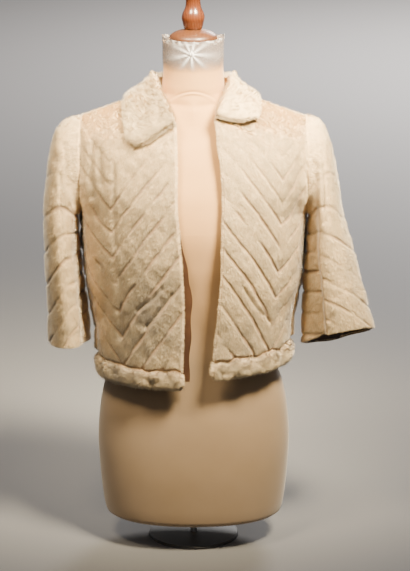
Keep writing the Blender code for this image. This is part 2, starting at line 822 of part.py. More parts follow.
def make_collar(fronts, back, fur):
    points = []
    rings = []
    for k in range(-COLLAR_STATIONS, COLLAR_STATIONS + 1):
        section = collar_section(fronts, back, k / COLLAR_STATIONS)
        rings.append(list(range(len(points), len(points) + len(section))))
        points += section
    faces = []
    size = len(rings[0])
    for ring, following in zip(rings, rings[1:]):
        for k in range(size):
            after = (k + 1) % size
            faces.append((ring[k], ring[after], following[after], following[k]))
    faces.append(tuple(rings[0]))
    faces.append(tuple(reversed(rings[-1])))
    add_object("collar", points, faces, fur, 60)


def rounded_ring(z, half_width, front, back, square, sides, grow=0.0):
    """A horizontal section of the dress form."""
    ring = []
    for k in range(sides):
        angle = 2 * math.pi * k / sides
        across = math.cos(angle)
        forward = math.sin(angle)
        x = math.copysign(abs(across) ** (2 / square), across) * (half_width + grow)
        depth = back if forward > 0 else front
        y = math.copysign(abs(forward) ** (2 / square), forward) * (depth + grow)
        ring.append(Vector((x, y, z)))
    return ring


def lofted(rings):
    """A closed body through rings, with flat ends."""
    points = [point for ring in rings for point in ring]
    sides = len(rings[0])
    faces = []
    for level in range(len(rings) - 1):
        for k in range(sides):
            after = (k + 1) % sides
            low = level * sides
            high = low + sides
            faces.append((low + k, low + after, high + after, high + k))
    faces.append(tuple(reversed(range(sides))))
    faces.append(tuple(range(len(points) - sides, len(points))))
    return points, faces


def make_form(jersey):
    heights = [FORM["z"][0], FORM["z"][1], FORM_EDGE_Z]
    level = FORM_HIP_Z
    while level < FORM_CHEST_Z:
        heights.append(level)
        level += FORM_RING_STEP
    heights += [z for z in FORM["z"] if z >= FORM_CHEST_Z]
    rings = []
    for z in heights:
        sizes = [read(FORM, "z", name, z) for name in ("half_width", "front", "back", "square")]
        rings.append(rounded_ring(z, *sizes, FORM_SIDES))
    points, faces = lofted(rings)
    add_object("torso", points, faces, jersey, 50)


def make_film(film):
    """Clear film wound once round the neck, with its top edge standing above it."""
    rings = []
    heights = [FILM_LOW_Z, FILM_MIDDLE_Z, FILM_HIGH_Z]
    for grow in (SEAM_GAP * 2, SEAM_GAP * 2 + FILM_WALL):
        for z in heights:
            sizes = [read(FORM, "z", name, z) for name in ("half_width", "front", "back", "square")]
            rings.append(rounded_ring(z, *sizes, FORM_SIDES, grow))
    inner = rings[:len(heights)]
    outer = rings[len(heights):][::-1]
    loop = inner + outer
    points = [point for ring in loop for point in ring]
    faces = []
    for level in range(len(loop)):
        following = (level + 1) % len(loop)
        for k in range(FORM_SIDES):
            after = (k + 1) % FORM_SIDES
            faces.append((level * FORM_SIDES + k, level * FORM_SIDES + after,
                          following * FORM_SIDES + after, following * FORM_SIDES + k))
    add_object("neck_film", points, faces, film, 50)


def turned(profile, sides):
    """Rings of a turned piece from (radius, height) pairs."""
    rings = []
    for radius, z in profile:
        ring = []
        for k in range(sides):
            angle = 2 * math.pi * k / sides
            ring.append(Vector((radius * math.cos(angle), radius * math.sin(angle), z)))
        rings.append(ring)
    return lofted(rings)


def make_stand(wood, finial_wood, steel, iron):
    cap_low = FORM_TOP_Z + SEAM_GAP
    cap = [(radius, cap_low + z) for z, radius in zip(CAP["z"], CAP["radius"])]
    add_object("neck_cap", *turned(cap, CAP_SIDES), wood, 40)
    finial_low = cap[-1][1] + SEAM_GAP
    finial = [(radius, finial_low + z) for z, radius in zip(FINIAL["z"], FINIAL["radius"])]
    add_object("finial", *turned(finial, FINIAL_SIDES), finial_wood, 40)
    pole = [(POLE_RADIUS, BASE_HEIGHT + SEAM_GAP), (POLE_RADIUS, FORM_BOTTOM_Z - SEAM_GAP)]
    add_object("pole", *turned(pole, POLE_SIDES), steel, 40)
    base = [(BASE_RADIUS, 0.0), (BASE_RADIUS, BASE_HEIGHT - BASE_BEVEL),
            (BASE_RADIUS - BASE_BEVEL, BASE_HEIGHT)]
    add_object("base_plate", *turned(base, BASE_SIDES), iron, 40)


def build():
    clear_scene()
    fur = make_material("cream_fur", (0.86, 0.80, 0.68), 0.85)
    satin = make_material("brown_satin", (0.16, 0.09, 0.05), 0.45)
    jersey = make_material("cream_jersey", (0.84, 0.77, 0.62), 0.9)
    wood = make_material("light_wood", (0.62, 0.34, 0.14), 0.35)
    finial_wood = make_material("red_brown_wood", (0.30, 0.10, 0.04), 0.25)
    film = make_material("clear_film", (0.92, 0.92, 0.92), 0.12, alpha=0.4)
    steel = make_material("grey_steel", (0.60, 0.60, 0.60), 0.35, metallic=1.0)
    iron = make_material("black_iron", (0.02, 0.02, 0.02), 0.5)

    fronts = {name: make_front(name, fur) for name in SIDES}
    back = make_back(fur)
    for name in SIDES:
        sleeve = make_sleeve(name, fur)
        make_facing(name, sleeve, satin)
    for name, side in SIDES.items():
        surface, normal_at = fronts[name]

        def front_hem(column, side=side):
            share = column / FRONT_COLUMNS
            return side["hem_centre"] + (side["hem_side"] - side["hem_centre"]) * share

        make_band("front_" + name, surface, normal_at, FRONT_COLUMNS, fur, front_hem)

    def back_hem(column):
        share = column / (2 * BACK_HALF_COLUMNS)
        low = SIDES["right"]["hem_side"]
        return low + (SIDES["left"]["hem_side"] - low) * share

    make_band("back", back[0], back[1], 2 * BACK_HALF_COLUMNS, fur, back_hem)
    make_collar(fronts, back, fur)
    make_form(jersey)
    make_film(film)
    make_stand(wood, finial_wood, steel, iron)


build()
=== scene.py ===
"""Cropped herringbone fur bolero on a limbless dress form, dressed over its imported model."""

import itertools
import math

import bmesh
import bpy
import numpy as np
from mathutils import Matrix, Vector


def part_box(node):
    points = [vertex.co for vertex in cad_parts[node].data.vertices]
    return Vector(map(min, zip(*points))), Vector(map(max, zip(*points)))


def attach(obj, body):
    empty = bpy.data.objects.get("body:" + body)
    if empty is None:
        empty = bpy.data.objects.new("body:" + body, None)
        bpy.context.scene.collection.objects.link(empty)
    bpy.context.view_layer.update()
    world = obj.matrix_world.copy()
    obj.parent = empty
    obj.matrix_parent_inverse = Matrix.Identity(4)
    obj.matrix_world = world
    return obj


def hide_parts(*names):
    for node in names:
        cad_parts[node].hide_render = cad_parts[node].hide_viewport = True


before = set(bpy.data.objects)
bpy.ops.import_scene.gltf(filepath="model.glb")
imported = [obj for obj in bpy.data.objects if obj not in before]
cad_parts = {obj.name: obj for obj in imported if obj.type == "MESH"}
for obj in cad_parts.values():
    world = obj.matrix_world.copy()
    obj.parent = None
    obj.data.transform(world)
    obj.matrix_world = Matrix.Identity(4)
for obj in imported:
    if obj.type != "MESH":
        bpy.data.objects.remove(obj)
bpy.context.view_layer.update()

for part in bpy.context.selected_objects:
    part.select_set(False)


# ROOM
# A plain floor runs back out of sight. Two soft lights stand before the jacket and one hangs
# far behind it. The camera stands four metres off and looks a little down on the stand.

CAMERA_TARGET = Vector((0.020, 0.0, 0.462))
CAMERA_DISTANCE = 4.0
CAMERA_TILT = math.radians(15)
CAMERA_SENSOR = 36
PIXEL = 0.00175
PICTURE_HEIGHT = 571 * PIXEL
FLOOR_SIZE = 60
FLOOR_COLOUR = (0.135, 0.130, 0.128, 1)
SKY_COLOUR = (1.0, 0.98, 0.96, 1)
SKY_STRENGTH = 0.36


def new_material(name, roughness=0.5, metallic=0.0):
    """A material with its shader, ready for its nodes."""
    material = bpy.data.materials.new(name)
    material.use_nodes = True
    shader = material.node_tree.nodes["Principled BSDF"]
    shader.inputs["Roughness"].default_value = roughness
    shader.inputs["Metallic"].default_value = metallic
    return material, shader


def add_node(material, kind, settings=(), **values):
    """A node in a material, with its settings and the values of its sockets."""
    node = material.node_tree.nodes.new(kind)
    for key, value in dict(settings).items():
        setattr(node, key, value)
    for key, value in values.items():
        node.inputs[key.replace("_", " ")].default_value = value
    return node


def link(material, source, target):
    """Joins two sockets of a material's nodes."""
    material.node_tree.links.new(source, target)


camera_data = bpy.data.cameras.new("camera")
camera_data.sensor_fit = "VERTICAL"
camera_data.sensor_height = CAMERA_SENSOR
camera_data.lens = CAMERA_DISTANCE / PICTURE_HEIGHT * CAMERA_SENSOR
camera = bpy.data.objects.new("camera", camera_data)
bpy.context.scene.collection.objects.link(camera)
towards = Vector((0, math.cos(CAMERA_TILT), -math.sin(CAMERA_TILT)))
camera.location = CAMERA_TARGET - towards * CAMERA_DISTANCE
camera.rotation_euler = (math.radians(90) - CAMERA_TILT, 0, 0)
bpy.context.scene.camera = camera

bpy.ops.mesh.primitive_plane_add(size=FLOOR_SIZE, location=(0, 0, 0))
floor = bpy.context.object
floor.name = "floor"
floor_material, floor_shader = new_material("pale_floor", roughness=0.8)
floor_shader.inputs["Base Color"].default_value = FLOOR_COLOUR
floor.data.materials.append(floor_material)
floor.select_set(False)


def add_light(name, place, aim, size, power, beam, colour):
    """A square soft light, aimed at a place. Its beam is the full angle in degrees."""
    lamp = bpy.data.lights.new(name, "AREA")
    lamp.shape = "SQUARE"
    lamp.size = size
    lamp.energy = power
    lamp.spread = math.radians(beam)
    lamp.color = colour
    holder = bpy.data.objects.new(name, lamp)
    holder.location = place
    holder.rotation_euler = (Vector(aim) - Vector(place)).to_track_quat("-Z", "Y").to_euler()
    bpy.context.scene.collection.objects.link(holder)


add_light("right_light", (0.68, -0.88, 2.05), (0.14, 0, 0.85), 0.50, 21, 37, (1.0, 0.87, 0.62))
add_light("left_light", (-0.54, -0.90, 2.02), (-0.08, 0, 0.83), 0.45, 5.6, 37, (1.0, 0.85, 0.60))
add_light("far_light", (1.60, 5.20, 2.60), (1.60, 5.20, 0), 1.80, 700, 180, (1.0, 0.97, 0.94))
world = bpy.data.worlds.new("studio")
bpy.context.scene.world = world
world.use_nodes = True
world.node_tree.nodes["Background"].inputs["Color"].default_value = SKY_COLOUR
world.node_tree.nodes["Background"].inputs["Strength"].default_value = SKY_STRENGTH


# BASE AND POLE
# A round cast plate, turned flat, with a bright steel tube set in its middle. The plate is coloured near
# black as painted shade, standing for the shadow under the form.

iron, iron_shader = new_material("shadow_black_plate", roughness=0.42)
iron_place = add_node(iron, "ShaderNodeTexCoord")
iron_grain = add_node(iron, "ShaderNodeTexNoise", Scale=420.0, Detail=3.0)
plate_shadow_tone = add_node(iron, "ShaderNodeValToRGB")
plate_shadow_tone.color_ramp.elements[0].color = (0.010, 0.009, 0.009, 1)
plate_shadow_tone.color_ramp.elements[1].color = (0.035, 0.032, 0.030, 1)
iron_bump = add_node(iron, "ShaderNodeBump", Strength=0.25, Distance=0.0004)
link(iron, iron_place.outputs["Object"], iron_grain.inputs["Vector"])
link(iron, iron_grain.outputs["Fac"], plate_shadow_tone.inputs["Fac"])
link(iron, plate_shadow_tone.outputs["Color"], iron_shader.inputs["Base Color"])
link(iron, iron_grain.outputs["Fac"], iron_bump.inputs["Height"])
link(iron, iron_bump.outputs["Normal"], iron_shader.inputs["Normal"])
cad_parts["base_plate"].material_slots[0].material = iron

steel, steel_shader = new_material("drawn_steel", roughness=0.32, metallic=1.0)
steel_place = add_node(steel, "ShaderNodeTexCoord")
steel_stretch = add_node(steel, "ShaderNodeMapping")
steel_stretch.inputs["Scale"].default_value = (900, 900, 12)
steel_lines = add_node(steel, "ShaderNodeTexNoise", Scale=1.0, Detail=2.0)
steel_tone = add_node(steel, "ShaderNodeValToRGB")
steel_tone.color_ramp.elements[0].color = (0.36, 0.35, 0.34, 1)
steel_tone.color_ramp.elements[1].color = (0.62, 0.61, 0.60, 1)
link(steel, steel_place.outputs["Object"], steel_stretch.inputs["Vector"])
link(steel, steel_stretch.outputs["Vector"], steel_lines.inputs["Vector"])
link(steel, steel_lines.outputs["Fac"], steel_tone.inputs["Fac"])
link(steel, steel_tone.outputs["Color"], steel_shader.inputs["Base Color"])
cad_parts["pole"].material_slots[0].material = steel


# DRESS FORM
# A hard moulded body with a tube of cream jersey pulled over it. The jersey is smooth, with a
# turned edge that shows as a low arc round the foot of the neck.

FORM_SIDES = 96
FORM_SPAN = (0.060, 0.892)
FORM_STEP = 0.008
NECK_FOOT_SPAN = (0.776, 0.819)
NECK_FOOT_STEP = 0.0010
NECK_ARC_FRONT_Z = 0.8110
NECK_ARC_FALL = 11.0
NECK_ARC_HEIGHT = 0.0010
NECK_ARC_WIDTH = 0.0018
ARC_TROUGH = 0.9
ARC_TROUGH_UP = 0.0030
ARC_TROUGH_WIDTH = 0.0020
KNIT_SIZE = 0.0014
WAVES_PER_SCALE = 3.2


def columns(names, *rows):
    """A short table: one name for each column, one row for each section."""
    return {name: [row[k] for row in rows] for k, name in enumerate(names.split())}


def read(table, key, column, at):
    """Values of a column where the key column equals `at`, on a smooth curve through the rows."""
    keys = np.array(table[key], float)
    values = np.array(table[column], float)
    if keys[0] > keys[-1]:
        keys = keys[::-1]
        values = values[::-1]
    rise = np.diff(values) / np.diff(keys)
    both = rise[:-1] * rise[1:] > 0
    slope = np.zeros_like(values)
    slope[0] = rise[0]
    slope[-1] = rise[-1]
    total = np.where(both, rise[:-1] + rise[1:], 1)
    slope[1:-1] = np.where(both, 2 * rise[:-1] * rise[1:] / total, 0)
    at = np.clip(at, keys[0], keys[-1])
    k = np.clip(np.searchsorted(keys, at, side="right") - 1, 0, len(keys) - 2)
    span = keys[k + 1] - keys[k]
    t = (at - keys[k]) / span
    return (values[k] * (1 + 2 * t) * (1 - t) ** 2
            + slope[k] * span * t * (1 - t) ** 2
            + values[k + 1] * t * t * (3 - 2 * t)
            - slope[k + 1] * span * t * t * (1 - t))


FORM = columns(
    "z       half_width front   back    square",
    (0.0500, 0.1500,    0.1010, 0.1010, 2.20),
    (0.0545, 0.1560,    0.1065, 0.1065, 2.20),
    (0.0800, 0.1615,    0.1100, 0.1120, 2.20),
    (0.1350, 0.1670,    0.1120, 0.1180, 2.20),
    (0.1870, 0.1697,    0.1100, 0.1190, 2.20),
    (0.2400, 0.1660,    0.1060, 0.1120, 2.20),
    (0.2850, 0.1580,    0.1000, 0.1000, 2.15),
    (0.3400, 0.1380,    0.0940, 0.0880, 2.10),
    (0.4000, 0.1230,    0.0900, 0.0820, 2.10),
    (0.4600, 0.1290,    0.0960, 0.0840, 2.10),
    (0.5200, 0.1420,    0.1080, 0.0900, 2.10),
    (0.5800, 0.1510,    0.1170, 0.0960, 2.10),
    (0.6300, 0.1530,    0.1130, 0.0980, 2.15),
    (0.6800, 0.1570,    0.0980, 0.0950, 2.20),
    (0.7200, 0.1650,    0.0830, 0.0860, 2.20),
    (0.7460, 0.1690,    0.0700, 0.0640, 1.80),
    (0.7575, 0.1650,    0.0650, 0.0550, 1.50),
    (0.7685, 0.1545,    0.0620, 0.0455, 1.28),
    (0.7804, 0.1245,    0.0590, 0.0360, 1.18),
    (0.7904, 0.0890,    0.0545, 0.0285, 1.30),
    (0.8002, 0.0612,    0.0525, 0.0345, 1.72),
    (0.8085, 0.0541,    0.0508, 0.0470, 1.95),
    (0.8200, 0.0530,    0.0510, 0.0500, 2.00),
    (0.8400, 0.0515,    0.0505, 0.0500, 2.00),
    (0.8700, 0.0512,    0.0505, 0.0500, 2.00),
    (0.8925, 0.0515,    0.0510, 0.0505, 2.00),
)


def form_rings(heights, sides, grow=0.0):
    """Points of the form's horizontal sections, one row for each height."""
    heights = np.asarray(heights, float)[:, None]
    sizes = {name: read(FORM, "z", name, heights) for name in ("half_width", "front", "back", "square")}
    angle = np.linspace(0, 2 * np.pi, sides, endpoint=False)[None, :]
    across = np.cos(angle)
    forward = np.sin(angle)
    power = 2 / sizes["square"]
    depth = np.where(forward > 0, sizes["back"], sizes["front"]) + grow
    x = np.sign(across) * np.abs(across) ** power * (sizes["half_width"] + grow)
    y = np.sign(forward) * np.abs(forward) ** power * depth
    return np.stack([x, y, heights + 0 * x], axis=-1)


def loft(name, rings, material, closed_ends=True):
    """A closed body through rings of points."""
    levels, sides = rings.shape[:2]
    index = np.arange(levels * sides).reshape(levels, sides)
    after = np.roll(index, -1, axis=1)
    quads = np.stack([index[:-1], after[:-1], after[1:], index[1:]], axis=-1).reshape(-1, 4)
    faces = quads.tolist()
    if closed_ends:
        faces.append(index[0][::-1].tolist())
        faces.append(index[-1].tolist())
    else:
        faces += np.stack([index[-1], after[-1], after[0], index[0]], axis=-1).tolist()
    mesh = bpy.data.meshes.new(name)
    mesh.from_pydata(rings.reshape(-1, 3).tolist(), [], faces)
    shape = bmesh.new()
    shape.from_mesh(mesh)
    bmesh.ops.recalc_face_normals(shape, faces=shape.faces)
    shape.to_mesh(mesh)
    shape.free()
    mesh.shade_smooth()
    mesh.set_sharp_from_angle(angle=math.radians(50))
    mesh.materials.append(material)
    piece = bpy.data.objects.new(name, mesh)
    bpy.context.scene.collection.objects.link(piece)
    return piece


def drift(points, size, seed):
    """Soft random values from 0 to 1 at points, that change over about `size` metres."""
    place = np.asarray(points) / size + seed * 17.31
    cell = np.floor(place)
    part = place - cell
    part = part * part * (3 - 2 * part)
    total = 0.0
    for corner in itertools.product((0, 1), repeat=3):
        share = np.prod(np.where(np.array(corner, bool), part, 1 - part), axis=-1)
        code = np.sin((cell + corner) @ (12.9898, 78.233, 37.719) + seed) * 43758.5453
        total = total + share * (code - np.floor(code))
    return total


jersey, jersey_shader = new_material("cream_jersey", roughness=0.85)
jersey_shader.inputs["Sheen Weight"].default_value = 0.25
jersey_shader.inputs["Sheen Roughness"].default_value = 0.5
jersey_place = add_node(jersey, "ShaderNodeTexCoord")
jersey_clouds = add_node(jersey, "ShaderNodeTexNoise", Scale=9.0, Detail=3.0, Roughness=0.55)
jersey_tone = add_node(jersey, "ShaderNodeValToRGB")
jersey_tone.color_ramp.elements[0].position = 0.30
jersey_tone.color_ramp.elements[0].color = (0.50, 0.262, 0.086, 1)
jersey_tone.color_ramp.elements[1].position = 0.70
jersey_tone.color_ramp.elements[1].color = (0.55, 0.295, 0.106, 1)
# Painted shade: the jersey's colour grows darker from z 0.62 down to z 0.34, for the shade below the
# jacket.
jersey_height = add_node(jersey, "ShaderNodeSeparateXYZ")
jersey_shade_by_height = add_node(jersey, "ShaderNodeMapRange", From_Min=0.62, From_Max=0.34, To_Min=0.0, To_Max=1.0)
jersey_painted_shade = add_node(jersey, "ShaderNodeMix", {"data_type": "RGBA", "blend_type": "MULTIPLY"})
jersey_painted_shade.inputs["B"].default_value = (0.40, 0.49, 0.74, 1)
jersey_courses = add_node(jersey, "ShaderNodeTexWave", {"bands_direction": "Z"},
                          Scale=1 / KNIT_SIZE / WAVES_PER_SCALE, Distortion=0.6, Detail=1.0)
jersey_wales = add_node(jersey, "ShaderNodeTexWave", {"bands_direction": "X"},
                        Scale=1 / KNIT_SIZE / WAVES_PER_SCALE, Distortion=0.6, Detail=1.0)
jersey_loops = add_node(jersey, "ShaderNodeMath", {"operation": "MULTIPLY"})
jersey_bump = add_node(jersey, "ShaderNodeBump", Strength=0.30, Distance=0.0004)
link(jersey, jersey_place.outputs["Object"], jersey_clouds.inputs["Vector"])
link(jersey, jersey_clouds.outputs["Fac"], jersey_tone.inputs["Fac"])
link(jersey, jersey_place.outputs["Object"], jersey_height.inputs["Vector"])
link(jersey, jersey_height.outputs["Z"], jersey_shade_by_height.inputs["Value"])
link(jersey, jersey_shade_by_height.outputs["Result"], jersey_painted_shade.inputs["Factor"])
link(jersey, jersey_tone.outputs["Color"], jersey_painted_shade.inputs["A"])
link(jersey, jersey_painted_shade.outputs["Result"], jersey_shader.inputs["Base Color"])
for bands in (jersey_courses, jersey_wales):
    link(jersey, jersey_place.outputs["Object"], bands.inputs["Vector"])
link(jersey, jersey_courses.outputs["Fac"], jersey_loops.inputs[0])
link(jersey, jersey_wales.outputs["Fac"], jersey_loops.inputs[1])
link(jersey, jersey_loops.outputs[0], jersey_bump.inputs["Height"])
link(jersey, jersey_bump.outputs["Normal"], jersey_shader.inputs["Normal"])

form_heights = np.unique(np.concatenate([FORM["z"], np.arange(*FORM_SPAN, FORM_STEP),
                                         np.arange(*NECK_FOOT_SPAN, NECK_FOOT_STEP)]))
form_points = form_rings(form_heights, FORM_SIDES)
arc_z = NECK_ARC_FRONT_Z - NECK_ARC_FALL * form_points[..., 0] ** 2
from_arc = form_points[..., 2] - arc_z
edge = (np.exp(-(from_arc / NECK_ARC_WIDTH) ** 2)
        - ARC_TROUGH * np.exp(-((from_arc - ARC_TROUGH_UP) / ARC_TROUGH_WIDTH) ** 2))
form_out = form_points * (1, 1, 0)
form_out /= np.linalg.norm(form_out, axis=-1, keepdims=True)
form_points = form_points + form_out * (edge * NECK_ARC_HEIGHT)[..., None]
torso = loft("jersey_form", form_points, jersey)
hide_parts("torso")
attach(torso, "root")


# WOODEN CAP AND FINIAL
# A light wooden dome closes the neck, turned and varnished satin. A red brown finial, turned in
# one piece and varnished to a gloss, is dowelled into its top.

CAP = columns(
    "z      radius",
    (0.0000, 0.0400),
    (0.0010, 0.0410),
    (0.0055, 0.0410),
    (0.0095, 0.0396),
    (0.0132, 0.0355),
    (0.0165, 0.0290),
    (0.0189, 0.0205),
    (0.0205, 0.0135),
    (0.0210, 0.0115),
)
FINIAL = columns(
    "z      radius",
    (0.000, 0.0150),
    (0.004, 0.0166),
    (0.010, 0.0180),
    (0.018, 0.0197),
    (0.026, 0.0183),
    (0.034, 0.0146),
    (0.040, 0.0129),
    (0.046, 0.0126),
    (0.054, 0.0140),
    (0.062, 0.0163),
    (0.070, 0.0166),
    (0.077, 0.0140),
    (0.082, 0.0090),
    (0.085, 0.0040),
)
CAP_LIGHT = (0.075, 0.025, 0.007)
CAP_DARK = (0.048, 0.015, 0.004)
FINIAL_LIGHT = (0.100, 0.028, 0.009)
FINIAL_DARK = (0.050, 0.012, 0.004)
TURNED_SIDES = 72
TURNED_STEPS = 3


def turn_piece(name, table, low, material):
    """A turned piece: a disc drawn up along its profile, one extrusion for each row."""
    bpy.ops.object.select_all(action="DESELECT")
    radius = table["radius"][0]
    bpy.ops.mesh.primitive_circle_add(vertices=TURNED_SIDES, radius=radius, fill_type="NGON",
                                      location=(0, 0, low))
    piece = bpy.context.object
    piece.name = name
    bpy.ops.object.mode_set(mode="EDIT")
    bpy.ops.mesh.select_all(action="SELECT")
    before = table["z"][0]
    heights = np.interp(np.arange(1, TURNED_STEPS * (len(table["z"]) - 1) + 1) / TURNED_STEPS,
                        np.arange(len(table["z"])), table["z"])
    for z, following in zip(heights.tolist(), read(table, "z", "radius", heights).tolist()):
        bpy.ops.mesh.extrude_region_move(TRANSFORM_OT_translate={"value": (0, 0, z - before)})
        grow = following / radius
        bpy.ops.transform.resize(value=(grow, grow, 1))
        before = z
        radius = following
    bpy.ops.mesh.select_all(action="SELECT")
    bpy.ops.mesh.normals_make_consistent(inside=False)
    bpy.ops.object.mode_set(mode="OBJECT")
    bpy.ops.object.transform_apply(location=True, rotation=True, scale=True)
    bpy.ops.object.shade_smooth_by_angle(angle=math.radians(40))
    piece.data.materials.append(material)
    piece.select_set(False)
    return piece


wood_grain = bpy.data.node_groups.new("wood_grain", "ShaderNodeTree")
for socket, kind in (("Light", "NodeSocketColor"), ("Dark", "NodeSocketColor"),
                     ("Rings", "NodeSocketFloat")):
    wood_grain.interface.new_socket(socket, in_out="INPUT", socket_type=kind)
wood_grain.interface.new_socket("Color", in_out="OUTPUT", socket_type="NodeSocketColor")
wood_grain.interface.new_socket("Height", in_out="OUTPUT", socket_type="NodeSocketFloat")
grain_in = wood_grain.nodes.new("NodeGroupInput")
grain_out = wood_grain.nodes.new("NodeGroupOutput")
grain_place = wood_grain.nodes.new("ShaderNodeTexCoord")
grain_tilt = wood_grain.nodes.new("ShaderNodeMapping")
grain_tilt.inputs["Rotation"].default_value = (0.25, 0.4, 0.2)
grain_tilt.inputs["Scale"].default_value = (1.0, 1.0, 0.22)
grain_rings = wood_grain.nodes.new("ShaderNodeTexWave")
grain_rings.inputs["Distortion"].default_value = 5.0
grain_rings.inputs["Detail"].default_value = 3.0
grain_pores = wood_grain.nodes.new("ShaderNodeTexNoise")
grain_pores.inputs["Scale"].default_value = 380.0
grain_mix = wood_grain.nodes.new("ShaderNodeMath")
grain_mix.operation = "MULTIPLY"
grain_colour = wood_grain.nodes.new("ShaderNodeMix")
grain_colour.data_type = "RGBA"
for source, target in (
    (grain_place.outputs["Object"], grain_tilt.inputs["Vector"]),
    (grain_tilt.outputs["Vector"], grain_rings.inputs["Vector"]),
    (grain_tilt.outputs["Vector"], grain_pores.inputs["Vector"]),
    (grain_in.outputs["Rings"], grain_rings.inputs["Scale"]),
    (grain_rings.outputs["Fac"], grain_mix.inputs[0]),
    (grain_pores.outputs["Fac"], grain_mix.inputs[1]),
    (grain_mix.outputs[0], grain_colour.inputs["Factor"]),
    (grain_in.outputs["Light"], grain_colour.inputs["A"]),
    (grain_in.outputs["Dark"], grain_colour.inputs["B"]),
    (grain_colour.outputs["Result"], grain_out.inputs["Color"]),
    (grain_mix.outputs[0], grain_out.inputs["Height"]),
):
    wood_grain.links.new(source, target)


def wooden(name, light, dark, rings, roughness, coat):
    """Varnished wood with its own two tones of grain."""
    material, shader = new_material(name, roughness=roughness)
    shader.inputs["Coat Weight"].default_value = coat
    shader.inputs["Coat Roughness"].default_value = 0.08
    grain = add_node(material, "ShaderNodeGroup", {"node_tree": wood_grain})
    grain.inputs["Light"].default_value = (*light, 1)
    grain.inputs["Dark"].default_value = (*dark, 1)
    grain.inputs["Rings"].default_value = rings
    bump = add_node(material, "ShaderNodeBump", Strength=0.05, Distance=0.0002)
    link(material, grain.outputs["Color"], shader.inputs["Base Color"])
    link(material, grain.outputs["Height"], bump.inputs["Height"])
    link(material, bump.outputs["Normal"], shader.inputs["Normal"])
    return material


cap_wood = wooden("satin_light_wood", CAP_LIGHT, CAP_DARK, rings=55.0, roughness=0.45, coat=0.08)
cap_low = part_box("neck_cap")[0].z
neck_cap = turn_piece("wooden_cap", CAP, cap_low, cap_wood)
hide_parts("neck_cap")
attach(neck_cap, "root")

finial_wood = wooden("gloss_red_brown_wood", FINIAL_LIGHT, FINIAL_DARK, rings=80.0, roughness=0.26,
                     coat=0.4)
finial = turn_piece("turned_finial", FINIAL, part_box("finial")[0].z, finial_wood)
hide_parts("finial")
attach(finial, "root")


# NECK FILM
# Clear plastic film, wound once round the neck to keep the jersey clean. It stands a little
# above the neck at the sides, and is twisted into a star of small pleats at the front.

FILM_SIDES = 160
FILM_STEPS = 26
FILM_LOW_Z = 0.8400
NECK_TOP_Z = 0.8925
FILM_FRONT_TOP_Z = 0.8990
FILM_SIDE_TOP_Z = 0.9035
FILM_BACK_TOP_Z = 0.8935
FILM_CLEAR = 0.0006
FILM_WALL = 0.0004
FILM_CRINKLE = 0.0011
STAR_X = -0.0030
STAR_Z = 0.8780
STAR_REACH = 0.0130
STAR_PLEATS = 9
STAR_RISE = 0.0012
PLEAT_RISE = 0.0034
FILM_VEIL = 0.56
FILM_CLOUD = 0.14
FILM_HIGHLIGHT_VEIL = 0.6

film, film_shader = new_material("clear_film", roughness=0.10)
film_shader.inputs["Specular IOR Level"].default_value = 0.9
film_place = add_node(film, "ShaderNodeTexCoord")
film_warp = add_node(film, "ShaderNodeTexNoise", Scale=60.0, Detail=4.0, Roughness=0.6)
film_lines = add_node(film, "ShaderNodeTexVoronoi", {"feature": "DISTANCE_TO_EDGE"}, Scale=48.0)
film_shift = add_node(film, "ShaderNodeVectorMath", {"operation": "MULTIPLY_ADD"})
film_shift.inputs[1].default_value = (0.02, 0.02, 0.02)
film_edge = add_node(film, "ShaderNodeMapRange", From_Min=0.0, From_Max=0.035, To_Min=0.30, To_Max=0.0)
film_haze_and_highlights = add_node(film, "ShaderNodeAttribute", {"attribute_name": "film_haze_and_highlights"})
film_veil = add_node(film, "ShaderNodeMath", {"operation": "ADD"})
# Painted highlights: the film's colour turns from grey to white by the third share of its haze attribute.
film_highlight_paint = add_node(film, "ShaderNodeMix", {"data_type": "RGBA"})
film_highlight_paint.inputs["A"].default_value = (0.24, 0.205, 0.195, 1)
film_highlight_paint.inputs["B"].default_value = (0.95, 0.94, 0.94, 1)
film_cover = add_node(film, "ShaderNodeMath", {"operation": "MULTIPLY", "use_clamp": True})
film_parts = add_node(film, "ShaderNodeSeparateColor")
film_bump = add_node(film, "ShaderNodeBump", Strength=0.7, Distance=0.0012)
link(film, film_place.outputs["Object"], film_warp.inputs["Vector"])
link(film, film_warp.outputs["Color"], film_shift.inputs[0])
link(film, film_place.outputs["Object"], film_shift.inputs[2])
link(film, film_shift.outputs["Vector"], film_lines.inputs["Vector"])
link(film, film_lines.outputs["Distance"], film_edge.inputs["Value"])
link(film, film_haze_and_highlights.outputs["Color"], film_parts.inputs["Color"])
link(film, film_edge.outputs["Result"], film_veil.inputs[0])
link(film, film_parts.outputs["Red"], film_veil.inputs[1])
link(film, film_veil.outputs[0], film_cover.inputs[0])
link(film, film_parts.outputs["Blue"], film_highlight_paint.inputs["Factor"])
link(film, film_highlight_paint.outputs["Result"], film_shader.inputs["Base Color"])
link(film, film_parts.outputs["Green"], film_cover.inputs[1])
link(film, film_cover.outputs[0], film_shader.inputs["Alpha"])
link(film, film_warp.outputs["Fac"], film_bump.inputs["Height"])
link(film, film_bump.outputs["Normal"], film_shader.inputs["Normal"])

